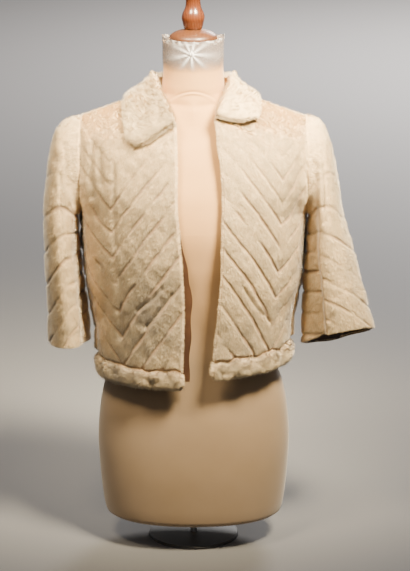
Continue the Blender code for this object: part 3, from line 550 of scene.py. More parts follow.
film_share = np.linspace(0, 1, FILM_STEPS)[:, None]
film_turn = np.linspace(0, 2 * np.pi, FILM_SIDES, endpoint=False)[None, :]
film_front = np.clip(-np.sin(film_turn), 0, 1) ** 1.5
film_back = np.clip(np.sin(film_turn), 0, 1) ** 1.5
film_top = (FILM_SIDE_TOP_Z + (FILM_FRONT_TOP_Z - FILM_SIDE_TOP_Z) * film_front
            + (FILM_BACK_TOP_Z - FILM_SIDE_TOP_Z) * film_back)
film_z = FILM_LOW_Z + (film_top - FILM_LOW_Z) * film_share
film_ring = form_rings(np.linspace(FILM_LOW_Z, NECK_TOP_Z, FILM_STEPS), FILM_SIDES, FILM_CLEAR)
film_points = np.stack([film_ring[..., 0], film_ring[..., 1], film_z], axis=-1)
film_out = film_points * (1, 1, 0)
film_out /= np.linalg.norm(film_out, axis=-1, keepdims=True)
star_dx = film_points[..., 0] - STAR_X
star_dz = film_points[..., 2] - STAR_Z
star_near = np.exp(-np.hypot(star_dx, star_dz) / STAR_REACH) * (film_points[..., 1] < 0)
pleats = np.abs(np.cos(0.5 * STAR_PLEATS * np.arctan2(star_dz, star_dx) + 0.4))
rough = drift(film_points * (1, 1, 0.45), 0.006, 3) * drift(film_points, 0.013, 5)
torn = 2.4 * np.clip((film_share - 0.86) / 0.14, 0, 1)
film_lift = (rough * FILM_CRINKLE * (0.4 + film_share + torn)
             + star_near * (STAR_RISE + PLEAT_RISE * pleats))
outer_film = film_points + film_out * (FILM_WALL + film_lift)[..., None]
inner_film = film_points + film_out * film_lift[..., None]
neck_film = loft("crinkled_film", np.concatenate([inner_film, outer_film[::-1]]), film, closed_ends=False)
film_height = np.clip((film_z - 0.846) / 0.022, 0, 1) + 0 * film_lift
# Painted highlights: white streaks along the star's pleats and spots round the top rim stand for light
# caught on the folds. They whiten the film and make it less clear there.
fold_glints = np.clip(star_near * 1.6, 0, 1) * pleats ** 6
rim_glint_spots = np.clip(5 * drift(film_points * (1, 1, 2), 0.005, 8) - 2.6, 0, 1)
rim_glints = np.clip((film_share - 0.84) / 0.16, 0, 1) * rim_glint_spots
film_painted_highlights = np.clip(1.3 * fold_glints + rim_glints, 0, 1)
film_veils = FILM_VEIL + FILM_CLOUD * drift(film_points, 0.010, 7) + FILM_HIGHLIGHT_VEIL * film_painted_highlights
film_tones = np.stack([film_veils, film_height, film_painted_highlights, 1 + 0 * film_veils], axis=-1)
film_tones = np.concatenate([film_tones, film_tones[::-1]]).astype(np.float32)
film_layer = neck_film.data.color_attributes.new("film_haze_and_highlights", "FLOAT_COLOR", "POINT")
film_layer.data.foreach_set("color", film_tones.ravel())
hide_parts("neck_film")
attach(neck_film, "root")


# WEARER'S RIGHT FRONT
# A pelt of cream sheared fur, sewn from strips 30 mm wide that meet in a V, each seam sunk
# between two crowned strips. It is cut from shoulder to hem band and left open at the centre.
# This front is the more worn one: its lower half is grey and matted.

FUR_WALL = 0.0080
SEAM_GAP = 0.0003
SKIN_DEPTH = 0.0030
GROOVE_DEPTH = 0.0013
GROOVE_WIDTH = 0.0019
CROWN = 0.0002
FRONT_COLUMNS = 15
FRONT_V_COLUMN = 9
BODY_ROWS = 30
NECK_ROWS = 3
ROW_GROWTH = 0.18
ROWS_PER_STRIP = 3
SHOULDER_TIP_X = 0.1930
SHOULDER_TIP_Z = 0.7650
NECK_POINT_X = 0.0660
NECK_POINT_Z = 0.8110
ARMHOLE_LOW_Z = 0.6000
ARMHOLE_FRONT = 0.0620
ARMHOLE_TURN = 28
SIDE_ROUNDNESS = 0.88
BAND_HEIGHT = 0.036
FRONT_FINE = 6
ROW_FINE = 4
EDGE_INSET = 0.18
PILE_LENGTH = 0.0052
PILE_WIDTH = 0.0010
PILE_LEAN = 0.95
SEAM_SHADE = 0.85
CREASE_SHADE = 45.0
SEAM_WANDER = 0.16
SEAM_RIPPLE = 0.07
SEAM_LEAST = 0.08
SEAM_MOST = 1.5
LEAST_STEEP = 8.0
DEEPEST_SKIN = -0.0068
SHADED_GROOVE = 0.25
STRIP_ROWS_ABOVE_HEM = 0.0145
HEM_SINK = 0.0026
TUFT_SIZE = 0.0065
MAT_SIZE = 0.0035
MAT_SHADE = 0.20
ROOT_DEPTH = 0.0006
ROOT_SINK = 0.0022
IN_SEAM_WIDTH = 0.0024
BESIDE_WIDTH = 0.0026
TIP_IN_SEAM_WIDTH = 0.0016
SEAM_SHORTER = 0.60
BLADE_REACHES = (0, 0.4, 0.8)
EDGE_PAINTED_SHADE = (0.25, 0.18, 0.22)
SKIN_SEAM_WIDTH = 0.0045
FADE_TOP_Z = 0.735
FADE_REACH = 0.15
EASE_SHARE = 0.65
EASE_LOW_Z = 0.60
EASE_REACH = 0.03
CREAM = (0.94, 0.725, 0.42, 1)
WARM_CREAM = (0.95, 0.72, 0.40, 1)
GREY_OF_WEAR_AND_SHADE = (0.36, 0.30, 0.225, 1)
ROOT_SHADE = (0.62, 0.47, 0.32, 1)
FUR_ROUGHNESS = 0.82
FUR_SHEEN = 0.30
FLECK_SCALE = 260.0
SATIN_DARK = (0.030, 0.012, 0.005, 1)
SATIN_LIGHT = (0.060, 0.026, 0.011, 1)
FRONT_PILE = 92000

BODICE = columns(
    "z      half_width front  back",
    (0.300, 0.1680,    0.1350, 0.1170),
    (0.350, 0.1690,    0.1340, 0.1140),
    (0.400, 0.1712,    0.1335, 0.1110),
    (0.435, 0.1770,    0.1338, 0.1100),
    (0.470, 0.1835,    0.1342, 0.1105),
    (0.540, 0.1900,    0.1348, 0.1120),
    (0.600, 0.1925,    0.1330, 0.1140),
    (0.650, 0.1928,    0.1270, 0.1140),
    (0.700, 0.1930,    0.1165, 0.1090),
    (0.740, 0.1930,    0.1045, 0.0990),
    (0.775, 0.1930,    0.0885, 0.0850),
    (0.811, 0.1930,    0.0600, 0.0600),
)
FRONT_EDGE = columns(
    "z      wearers_right wearers_left",
    (0.300, 0.0200,       0.0340),
    (0.350, 0.0190,       0.0345),
    (0.390, 0.0175,       0.0375),
    (0.450, 0.0160,       0.0440),
    (0.515, 0.0185,       0.0490),
    (0.600, 0.0250,       0.0500),
    (0.640, 0.0280,       0.0515),
    (0.700, 0.0275,       0.0475),
    (0.730, 0.0285,       0.0430),
    (0.780, 0.0310,       0.0385),
)
NECKLINE = columns(
    "row x      y       drop",
    (0, 0.0660, 0.0000, 0.00),
    (1, 0.0610, 0.0340, 0.20),
    (2, 0.0505, 0.0650, 0.55),
    (3, 0.0385, 0.0885, 1.00),
)
SIDES = {
    "right": {"sign": -1, "edge": "wearers_right", "front_top": 0.7680, "hem_centre": 0.3080,
              "hem_side": 0.3070, "v_share": 0.73},
    "left": {"sign": 1, "edge": "wearers_left", "front_top": 0.7780, "hem_centre": 0.3260,
             "hem_side": 0.3330, "v_share": 0.79},
}
# Worn and dirty places, and last three spots of painted shadow under the lifted left collar point:
# middle, reach and how strong
SOIL_AND_PAINTED_SHADOW = (
    ((-0.050, -0.130, 0.490), 0.040, 0.40),
    ((-0.085, -0.125, 0.440), 0.045, 0.45),
    ((-0.115, -0.110, 0.400), 0.045, 0.40),
    ((-0.040, -0.130, 0.400), 0.045, 0.28),
    ((-0.110, -0.100, 0.520), 0.060, 0.25),
    ((-0.060, -0.130, 0.600), 0.060, 0.20),
    ((-0.130, -0.090, 0.330), 0.040, 0.45),
    ((-0.070, -0.130, 0.325), 0.045, 0.30),
    ((0.060, -0.130, 0.400), 0.060, 0.22),
    ((0.110, -0.110, 0.360), 0.060, 0.25),
    ((0.0725, -0.125, 0.681), 0.003, 1.60),
    ((0.0554, -0.104, 0.7715), 0.0055, 1.50),
    ((0.0757, -0.103, 0.7645), 0.0060, 1.70),
    ((0.0926, -0.101, 0.7570), 0.0055, 1.30),
)


def row_share(share):
    """How far down a grid row lies, as the rows grow taller towards the hem."""
    return share * (1 - ROW_GROWTH) + ROW_GROWTH * share * share


def section(near, far, turn, column, last_column, v_column, v_share):
    """Points on horizontal sections of the bodice, each a quarter of a rounded box."""
    first = np.arcsin(np.minimum(0.999, near[0] / far[0] * np.sin(turn)))
    v_angle = np.arcsin(v_share * np.sin(turn))
    beyond = (column - v_column) / (last_column - v_column)
    angle = np.where(column <= v_column, first + (v_angle - first) * column / v_column,
                     v_angle + (turn - v_angle) * beyond)

    def fullness(a):
        return np.maximum(0, (np.cos(a) - np.cos(turn)) / (1 - np.cos(turn))) ** SIDE_ROUNDNESS

    x = far[0] * np.sin(angle) / np.sin(turn)
    y = far[1] + (near[1] - far[1]) * fullness(angle) / fullness(first)
    z = near[2] + (far[2] - near[2]) * (x - near[0]) / (far[0] - near[0])
    return np.stack([x, y, z], axis=-1)


def side_end(z, armhole_depth):
    """Where a section of the bodice ends at the side: on the armhole, or on the side seam below."""
    half_height = (SHOULDER_TIP_Z - ARMHOLE_LOW_Z) / 2
    height = (z - ARMHOLE_LOW_Z - half_height) / half_height
    depth = np.where(height > -1, armhole_depth * np.sqrt(np.maximum(0, 1 - height * height)), 0)
    x = np.where(height > -1, SHOULDER_TIP_X, read(BODICE, "z", "half_width", z))
    return (x, depth, z), np.radians(90 - ARMHOLE_TURN * depth / armhole_depth)


def front_points(side, column, row):
    """Outer points of a front at grid columns (0 at the centre edge) and rows (0 at the top)."""
    low = side["hem_centre"] + BAND_HEIGHT
    top = side["front_top"]
    drop = read(NECKLINE, "row", "drop", row)
    edge_x = read(FRONT_EDGE, "z", side["edge"], top)
    edge_y = read(BODICE, "z", "front", top)
    neck_x = read(NECKLINE, "row", "x", row) + (edge_x - NECKLINE["x"][-1]) * drop
    neck_y = read(NECKLINE, "row", "y", row) + (edge_y - NECKLINE["y"][-1]) * drop
    neck_z = NECK_POINT_Z + (top - NECK_POINT_Z) * drop
    share = row_share(np.maximum(0, row - NECK_ROWS) / (BODY_ROWS - NECK_ROWS))
    z = top + (low - top) * share
    on_neck = row <= NECK_ROWS
    near = (np.where(on_neck, neck_x, read(FRONT_EDGE, "z", side["edge"], z)),
            np.where(on_neck, neck_y, read(BODICE, "z", "front", z)),
            np.where(on_neck, neck_z, z))
    far_low = side["hem_side"] + BAND_HEIGHT
    far_z = SHOULDER_TIP_Z + (far_low - SHOULDER_TIP_Z) * row_share(row / BODY_ROWS)
    far, turn = side_end(far_z, ARMHOLE_FRONT)
    points = section(near, far, turn, column, FRONT_COLUMNS, FRONT_V_COLUMN, side["v_share"])
    return points * (side["sign"], -1, 1) - (0, SEAM_GAP / 2, 0)


def front_step(column):
    """How many rows lower a seam between strips lies than at the centre edge."""
    return np.where(column <= FRONT_V_COLUMN, -column, column - 2 * FRONT_V_COLUMN)


def unit(vectors):
    """The same directions with a length of one."""
    return vectors / np.maximum(np.linalg.norm(vectors, axis=-1, keepdims=True), 1e-9)


def grid_slopes(points, closed):
    """How a grid of points moves from column to column and from row to row."""
    if closed:
        across = (np.roll(points, -1, axis=1) - np.roll(points, 1, axis=1)) / 2
    else:
        across = np.gradient(points, axis=1)
    return across, np.gradient(points, axis=0)


def crease(points, face, line, width, depth):
    """
    A soft trough along a line of (x, z) places on the front (face -1) or the back (face 1) of a
    piece, or a ridge where the depth is negative.
    """
    nearest = np.full(points.shape[:2], 9.0)
    for start, end in zip(line, line[1:]):
        start = np.array(start)
        along = np.array(end) - start
        place = points[..., ::2] - start
        share = np.clip(place @ along / (along @ along), 0, 1)
        nearest = np.minimum(nearest, np.linalg.norm(place - share[..., None] * along, axis=-1))
    on_face = np.clip(0.5 + face * points[..., 1] / 0.02, 0, 1)
    return -depth * np.exp(-(nearest / width) ** 2) * on_face


def dress_skin(points, strips, outside, closed, seed, groove=1.0, creases=(), lumps=0.0012, grey=0.0):
    """
    The leather side of a fur panel: the outer grid sunk by the length of its pile, with
    grooves between crowned strips, and the tone of the fur over every point.
    """
    across, down = grid_slopes(points, closed)
    normals = unit(np.cross(across, down)) * outside
    wobble = (SEAM_WANDER * (drift(points, 0.060, seed) - 0.5)
              + SEAM_RIPPLE * (drift(points, 0.018, seed + 1) - 0.5))
    phase = strips + wobble
    if closed:
        phase_across = (np.roll(strips, -1, axis=1) - np.roll(strips, 1, axis=1)) / 2
    else:
        phase_across = np.gradient(strips, axis=1)
    phase_down = np.gradient(strips, axis=0)
    steep = np.hypot(phase_across / np.maximum(np.linalg.norm(across, axis=-1), 1e-6),
                     phase_down / np.maximum(np.linalg.norm(down, axis=-1), 1e-6))
    steep = np.maximum(steep, LEAST_STEEP)
    from_seam = np.abs(phase - np.round(phase)) / steep
    depth = groove * np.clip(2.5 * drift(points, 0.030, seed + 2) - 0.45, SEAM_LEAST, SEAM_MOST)
    groove_cut = GROOVE_DEPTH * depth * np.exp(-(from_seam / GROOVE_WIDTH) ** 2)
    relief = (-SKIN_DEPTH - CROWN * groove * np.cos(2 * np.pi * phase) - groove_cut
              + lumps * 2 * (drift(points, 0.040, seed + 3) - 0.5)
              + 0.0015 * (drift(points, 0.012, seed + 4) - 0.5))
    sunk = 0 * relief
    for fold in creases:
        trough = crease(points, *fold)
        relief = relief + trough
        sunk = sunk - np.minimum(0, trough)
    shallow = relief + (1 - SHADED_GROOVE) * groove_cut
    full = points + normals * np.maximum(shallow, DEEPEST_SKIN)[..., None]
    skin = points + normals * np.maximum(relief, DEEPEST_SKIN)[..., None]
    across, down = grid_slopes(full, closed)
    strip_side = np.sign(strips - np.roll(strips, 1, axis=1))
    strip_tone = 0.5 * np.sin(np.floor(phase) * 12.7 + strip_side + seed)
    soil_and_shadow = grey + 0 * relief
    for middle, reach, strength in SOIL_AND_PAINTED_SHADOW:
        away = np.linalg.norm(points - np.array(middle), axis=-1)
        ragged = 0.5 + drift(points, max(0.008, reach / 4), seed + 5)
        soil_and_shadow = soil_and_shadow + strength * ragged * np.exp(-(away / reach) ** 2)
    # Painted shade: besides real dirt, the tone falls in creases by their depth and under the painted
    # shadow spots of the soil list.
    clean_and_lit = (0.86 + 0.05 * strip_tone + 0.16 * (drift(points, 0.035, seed + 6) - 0.5)
             + 0.14 * (drift(points, 0.009, seed + 7) - 0.5) - soil_and_shadow - CREASE_SHADE * sunk)
    warm = 0.35 + 0.5 * drift(points, 0.10, seed + 8)
    return {"points": skin, "normals": unit(np.cross(across, down)) * outside,
            "across": unit(across), "down": unit(down), "nap": unit(down), "from_seam": from_seam,
            "phase": phase, "steep": steep, "above_hem": 1 + 0 * phase, "long": 1 + 0 * phase,
            "fall": np.clip(phase_down / np.maximum(np.linalg.norm(down, axis=-1), 1e-6), 0, 45),
            "depth": depth, "clean_and_lit": clean_and_lit, "warm": warm, "closed": closed}


def fur_material(name, is_pile):
    """Cream fur. Its cleanness with painted shade, warmth and place from root to tip come with the mesh.
    """
    material, shader = new_material(name, roughness=FUR_ROUGHNESS)
    shader.inputs["Sheen Weight"].default_value = FUR_SHEEN
    shader.inputs["Sheen Roughness"].default_value = 0.45
    shader.inputs["Specular IOR Level"].default_value = 0.25
    tones = add_node(material, "ShaderNodeAttribute", {"attribute_name": "fur_tone"})
    parts = add_node(material, "ShaderNodeSeparateColor")
    place = add_node(material, "ShaderNodeTexCoord")
    flecks = add_node(material, "ShaderNodeTexNoise", Scale=FLECK_SCALE, Detail=2.0)
    cream = add_node(material, "ShaderNodeMix", {"data_type": "RGBA"})
    cream.inputs["A"].default_value = CREAM
    cream.inputs["B"].default_value = WARM_CREAM
    wear_and_shade = add_node(material, "ShaderNodeMix", {"data_type": "RGBA"})
    wear_and_shade.inputs["A"].default_value = GREY_OF_WEAR_AND_SHADE
    root = add_node(material, "ShaderNodeMix", {"data_type": "RGBA", "blend_type": "MULTIPLY"})
    root.inputs["B"].default_value = ROOT_SHADE
    fleck_share = add_node(material, "ShaderNodeMapRange", From_Min=0.35, From_Max=0.65,
                           To_Min=-0.06, To_Max=0.06)
    clean_and_lit = add_node(material, "ShaderNodeMath", {"operation": "ADD", "use_clamp": True})
    rooted = add_node(material, "ShaderNodeMath", {"operation": "SUBTRACT", "use_clamp": True})
    rooted.inputs[0].default_value = 1.0
    link(material, tones.outputs["Color"], parts.inputs["Color"])
    link(material, place.outputs["Object"], flecks.inputs["Vector"])
    link(material, flecks.outputs["Fac"], fleck_share.inputs["Value"])
    link(material, parts.outputs["Red"], clean_and_lit.inputs[0])
    link(material, fleck_share.outputs["Result"], clean_and_lit.inputs[1])
    link(material, parts.outputs["Green"], cream.inputs["Factor"])
    link(material, clean_and_lit.outputs[0], wear_and_shade.inputs["Factor"])
    link(material, cream.outputs["Result"], wear_and_shade.inputs["B"])
    link(material, parts.outputs["Blue"], rooted.inputs[1])
    link(material, rooted.outputs[0], root.inputs["Factor"])
    link(material, wear_and_shade.outputs["Result"], root.inputs["A"])
    link(material, root.outputs["Result"], shader.inputs["Base Color"])
    if not is_pile:
        bump = add_node(material, "ShaderNodeBump", Strength=0.6, Distance=0.0012)
        link(material, flecks.outputs["Fac"], bump.inputs["Height"])
        link(material, bump.outputs["Normal"], shader.inputs["Normal"])
    return material


fur_leather = fur_material("fur_leather", False)
fur_pile = fur_material("fur_pile", True)

lining, lining_shader = new_material("brown_satin", roughness=0.38)
lining_shader.inputs["Sheen Weight"].default_value = 0.05
lining_place = add_node(lining, "ShaderNodeTexCoord")
lining_clouds = add_node(lining, "ShaderNodeTexNoise", Scale=28.0, Detail=4.0)
lining_threads = add_node(lining, "ShaderNodeTexWave", {"bands_direction": "DIAGONAL"}, Scale=420.0)
lining_tone = add_node(lining, "ShaderNodeValToRGB")
lining_tone.color_ramp.elements[0].position = 0.3
lining_tone.color_ramp.elements[0].color = SATIN_DARK
lining_tone.color_ramp.elements[1].position = 0.7
lining_tone.color_ramp.elements[1].color = SATIN_LIGHT
lining_bump = add_node(lining, "ShaderNodeBump", Strength=0.25, Distance=0.0003)
link(lining, lining_place.outputs["Object"], lining_clouds.inputs["Vector"])
link(lining, lining_place.outputs["Object"], lining_threads.inputs["Vector"])
link(lining, lining_clouds.outputs["Fac"], lining_tone.inputs["Fac"])
link(lining, lining_tone.outputs["Color"], lining_shader.inputs["Base Color"])
link(lining, lining_threads.outputs["Fac"], lining_bump.inputs["Height"])
link(lining, lining_bump.outputs["Normal"], lining_shader.inputs["Normal"])


def set_tones(mesh, tones):
    """The clean, warm and root to tip share of the fur at every point of a mesh."""
    layer = mesh.color_attributes.new("fur_tone", "FLOAT_COLOR", "POINT")
    full = np.ones((len(tones), 4), np.float32)
    full[:, :3] = np.clip(tones, 0, 1)
    layer.data.foreach_set("color", full.ravel())


def set_map(mesh, places):
    """The piece's own map for its baked colours, one place for each face corner."""
    layer = mesh.uv_layers.new(name="OFBake")
    layer.data.foreach_set("uv", np.ascontiguousarray(places, np.float32).ravel())


def fur_shell(name, panel, inner, materials):
    """
    A closed shell: the skin outside, an inner grid of every second point inside, and a rim
    of triangles along each open edge.
    """
    skin = panel["points"]
    closed = panel["closed"]
    rows, across = skin.shape[:2]
    outer_id = np.arange(rows * across).reshape(rows, across)
    inner_grid = inner[::2, ::2]
    inner_id = np.arange(inner_grid.shape[0] * inner_grid.shape[1]).reshape(inner_grid.shape[:2])
    inner_id = inner_id + rows * across
    if closed:
        outer_id = np.concatenate([outer_id, outer_id[:, :1]], axis=1)
        inner_id = np.concatenate([inner_id, inner_id[:, :1]], axis=1)

    def quads(index):
        corners = [index[:-1, :-1], index[:-1, 1:], index[1:, 1:], index[1:, :-1]]
        return np.stack(corners, axis=-1).reshape(-1, 4)

    faces = quads(outer_id).tolist()
    outer_count = len(faces)
    faces += quads(inner_id).tolist()
    inner_end = len(faces)
    edges = [(outer_id[0], inner_id[0]), (outer_id[-1], inner_id[-1])]
    if not closed:
        edges += [(outer_id[:, 0], inner_id[:, 0]), (outer_id[:, -1], inner_id[:, -1])]
    for fine, coarse in edges:
        for k in range(len(coarse) - 1):
            a, b, c = (int(fine[2 * k + n]) for n in range(3))
            p, q = int(coarse[k]), int(coarse[k + 1])
            faces += [(a, b, p), (b, q, p), (b, c, q)]
    mesh = bpy.data.meshes.new(name)
    points = np.concatenate([skin.reshape(-1, 3), inner_grid.reshape(-1, 3)])
    mesh.from_pydata(points.tolist(), [], faces)
    shape = bmesh.new()
    shape.from_mesh(mesh)
    bmesh.ops.recalc_face_normals(shape, faces=shape.faces)
    shape.to_mesh(mesh)
    shape.free()
    mesh.shade_smooth()
    mesh.set_sharp_from_angle(angle=math.radians(65))
    for material in materials:
        mesh.materials.append(material)
    slots = np.zeros(len(faces), np.int32)
    slots[outer_count:inner_end] = 1
    mesh.polygons.foreach_set("material_index", slots)
    dark = np.exp(-(panel["from_seam"] / SKIN_SEAM_WIDTH) ** 2) * np.minimum(1, panel["depth"])
    tones = np.stack([panel["clean_and_lit"] - dark, panel["warm"], 0.45 - 0.4 * dark], axis=-1).reshape(-1, 3)
    inner_tones = np.tile((0.7, 0.5, 0.5), (len(points) - len(tones), 1))
    set_tones(mesh, np.concatenate([tones, inner_tones]))
    row_place = np.linspace(0.01, 0.99, rows)[:, None] + np.zeros((1, across))
    column_place = np.linspace(0.01, 0.65, across)[None, :] + np.zeros((rows, 1))
    home = np.stack([column_place, row_place], axis=-1)
    inner_home = home[::2, ::2].reshape(-1, 2)
    home = np.concatenate([home.reshape(-1, 2), inner_home * (0.48, 1) + (0.67, 0)])
    rim_home = home.copy()
    rim_home[rows * across:] = inner_home
    corners = np.empty(len(mesh.loops), np.int32)
    mesh.loops.foreach_get("vertex_index", corners)
    starts = np.empty(len(mesh.polygons), np.int32)
    totals = np.empty(len(mesh.polygons), np.int32)
    mesh.polygons.foreach_get("loop_start", starts)
    mesh.polygons.foreach_get("loop_total", totals)
    is_rim = np.repeat(np.arange(len(faces)) >= inner_end, totals)
    set_map(mesh, np.where(is_rim[:, None], rim_home[corners], home[corners]))
    piece = bpy.data.objects.new(name, mesh)
    bpy.context.scene.collection.objects.link(piece)
    return piece


def between(grid, row, column, closed):
    """Values of a grid between its points."""
    rows, across = grid.shape[:2]
    r = np.clip(np.floor(row).astype(int), 0, rows - 2)
    c = np.floor(column).astype(int)
    c = c % across if closed else np.clip(c, 0, across - 2)
    after = (c + 1) % across if closed else c + 1
    u = row - r
    v = column - (np.floor(column) if closed else c)
    if grid.ndim == 3:
        u = u[:, None]
        v = v[:, None]
    return ((grid[r, c] * (1 - v) + grid[r, after] * v) * (1 - u)
            + (grid[r + 1, c] * (1 - v) + grid[r + 1, after] * v) * u)


PILE_KEYS = ("points", "normals", "across", "down", "nap", "phase", "steep", "above_hem", "depth",
             "long", "fall", "clean_and_lit", "warm")


def pile_roots(panel, count, random):
    """Roots spread evenly over a skin, with its directions and tones there."""
    points = panel["points"]
    closed = panel["closed"]
    across, down = grid_slopes(points, closed)
    area = np.linalg.norm(np.cross(across, down), axis=-1)
    area = area[:-1] if closed else area[:-1, :-1]
    order = random.choice(area.size, size=count, p=(area / area.sum()).ravel())
    row = order // area.shape[1] + random.random(count)
    column = order % area.shape[1] + random.random(count)
    return {key: between(panel[key], row, column, closed) for key in PILE_KEYS}


def edge_roots(panel, edge, count, random, wall):
    """Roots in the cut edge of a panel, with the way out from it."""
    rows, across = panel["points"].shape[:2]
    place = random.random(count)
    if edge in ("first_row", "last_row"):
        row = np.full(count, 0.0 if edge == "first_row" else rows - 1.0)
        column = place * (across if panel["closed"] else across - 1)
        out_key, out_sign = "down", -1 if edge == "first_row" else 1
    else:
        row = place * (rows - 1)
        column = np.full(count, 0.0 if edge == "first_column" else across - 1.0)
        out_key, out_sign = "across", -1 if edge == "first_column" else 1
    roots = {key: between(panel[key], row, column, panel["closed"]) for key in PILE_KEYS}
    sunk = random.random(count)
    roots["points"] = roots["points"] - roots["normals"] * (sunk * wall)[:, None]
    roots["out"] = roots[out_key] * out_sign
    roots["tip_up"] = 0.95 - 1.7 * sunk
    return roots


def grow_pile(name, groups, length, width, random, lean=PILE_LEAN, loose=0.22, clumps=0.50):
    """
    Sheared fur: one narrow blade for each lock of hair, leaning down the garment, shorter
    beside a seam. Every blade is shaded as the skin under it.
    """
    all_points = []
    all_normals = []
    all_tones = []
    for roots in groups:
        count = len(roots["points"])
        normal = unit(roots["normals"])
        stray = random.normal(0, loose, (count, 3))
        tufts = [drift(roots["points"], TUFT_SIZE, 40 + k) - 0.5 for k in range(3)]
        stray += clumps * np.stack(tufts, axis=-1)
        deep = np.clip(roots["depth"], 0, 1.2)
        from_seam = []
        for reach in BLADE_REACHES:
            phase = roots["phase"] + roots["fall"] * length * reach
            gap = np.abs(phase - np.round(phase)) / roots["steep"]
            from_seam.append(np.minimum(gap, np.abs(roots["above_hem"] - length * reach)))
        in_seam = np.exp(-(from_seam[0] / IN_SEAM_WIDTH) ** 2) * deep
        beside = np.exp(-(from_seam[1] / BESIDE_WIDTH) ** 2) * deep
        tip_in_seam = np.exp(-(from_seam[2] / TIP_IN_SEAM_WIDTH) ** 2) * deep
        if "out" in roots:
            way = unit(unit(roots["out"]) + normal * roots["tip_up"][:, None] + stray * 1.5)
            tall = length * (0.7 + 0.4 * random.random(count))
            # Painted shade: blades in a cut edge are darkened as if beside a seam, to dim edges that
            # catch the light.
            beside, in_seam, tip_in_seam = (np.full(count, shade) for shade in EDGE_PAINTED_SHADE)
        else:
            flatter = lean * (1 - 0.7 * np.clip(normal[:, 2:], 0, 1) ** 2)
            way = unit(normal * 0.75 + unit(roots["nap"]) * flatter + stray)
            tall = length * (1 - SEAM_SHORTER * np.minimum(1, beside))
            tall = tall * (0.8 + 0.4 * random.random(count))
        flat = unit(np.cross(normal, way) + random.normal(0, 0.10, (count, 3)))
        wide = (width * (0.7 + 0.6 * random.random(count)))[:, None]
        tall = tall * roots["long"]
        foot = roots["points"] - normal * (ROOT_DEPTH + ROOT_SINK * in_seam)[:, None]
        tip = foot + way * tall[:, None]
        all_points.append(np.stack([foot + flat * wide / 2, foot - flat * wide / 2, tip], axis=1))
        soft = unit(normal + 0.18 * way + 0.42 * stray * (1 - 0.6 * np.clip(normal[:, 2:], 0, 1)))
        all_normals.append(np.repeat(soft[:, None, :], 3, axis=1))
        clean_and_lit = roots["clean_and_lit"] + random.normal(0, 0.05, count) - 0.18 * np.minimum(1, beside)
        clean_and_lit = clean_and_lit + MAT_SHADE * (drift(roots["points"] * (1, 1, 0.5), MAT_SIZE, 60) - 0.5)
        base = np.stack([clean_and_lit - SEAM_SHADE * in_seam, roots["warm"], 0.65 - 0.5 * in_seam], axis=-1)
        top = np.stack([clean_and_lit - SEAM_SHADE * tip_in_seam, roots["warm"],
                        1.0 - 0.6 * tip_in_seam], axis=-1)
        all_tones.append(np.stack([base, base, top], axis=1))
    points = np.concatenate(all_points)
    count = len(points)
    mesh = bpy.data.meshes.new(name)
    mesh.vertices.add(count * 3)
    mesh.vertices.foreach_set("co", points.astype(np.float32).ravel())
    mesh.loops.add(count * 3)
    mesh.loops.foreach_set("vertex_index", np.arange(count * 3, dtype=np.int32))
    mesh.polygons.add(count)
    mesh.polygons.foreach_set("loop_start", np.arange(0, count * 3, 3, dtype=np.int32))
    mesh.update(calc_edges=True)
    mesh.validate()
    mesh.shade_smooth()
    set_tones(mesh, np.concatenate(all_tones).reshape(-1, 3))
    side = math.ceil(math.sqrt(count))
    cell = np.stack([np.arange(count) % side, np.arange(count) // side], axis=-1)
    corner = np.array([(0.06, 0.06), (0.94, 0.06), (0.5, 0.94)])
    set_map(mesh, (cell[:, None, :] + corner[None]) / side)
    mesh.materials.append(fur_pile)
    mesh.normals_split_custom_set(np.concatenate(all_normals).reshape(-1, 3).tolist())
    piece = bpy.data.objects.new(name, mesh)
    bpy.context.scene.collection.objects.link(piece)
    return piece


def inner_side(points, outside, closed, wall):
    """The inner grid of a panel, a wall's thickness below its outer grid."""
    across, down = grid_slopes(points, closed)
    return points - unit(np.cross(across, down)) * outside * wall


def hem_wave(points):
    """How far the seam of the hem band wanders up and down."""
    x = points[..., 0]
    depth = points[..., 1]
    return 0.0019 * np.sin(x * 96 + depth * 60 + 0.8) + 0.0014 * np.sin(x * 223 + depth * 90 + 2.1)


def wander(points, row):
    """Carry the lowest rows of a bodice piece up and down with the seam of its band."""
    low = np.clip((row - BODY_ROWS + 3) / 3, 0, 1) ** 2
    return points + np.stack([0 * low, 0 * low, low * hem_wave(points)], axis=-1)


def sink_hem_seam(panel, row):
    """The seam of the band is as deep and as dark as the deepest seam between strips."""
    above = (BODY_ROWS - row) * STRIP_ROWS_ABOVE_HEM + SEAM_GAP
    panel["from_seam"] = np.minimum(panel["from_seam"], above)
    panel["above_hem"] = above
    panel["depth"] = np.where(above < 0.005, 1.2, panel["depth"])
    sink = HEM_SINK * np.exp(-(above / 0.003) ** 2)
    panel["points"] = panel["points"] - panel["normals"] * sink[..., None]


def groove_fade(points):
    """Seams are faint over the shoulders, where the fur is fullest, and come and go lower down."""
    low = np.clip((FADE_TOP_Z - points[..., 2]) / FADE_REACH, 0, 1)
    return 0.10 + 0.90 * low * (0.55 + 0.9 * drift(points, 0.050, 9))


def ease_armhole(panel, near, sign, face):
    """Turn the fur beside an armhole seam one way, so that the seam doesn't show."""
    high = np.clip((panel["points"][..., 2] - EASE_LOW_Z) / EASE_REACH, 0, 1)
    share = (EASE_SHARE * near * high)[..., None]
    shared_way = unit(np.array((0.35 * sign, 0.85 * face, 0.45)))
    panel["normals"] = unit(panel["normals"] * (1 - share) + shared_way * share)


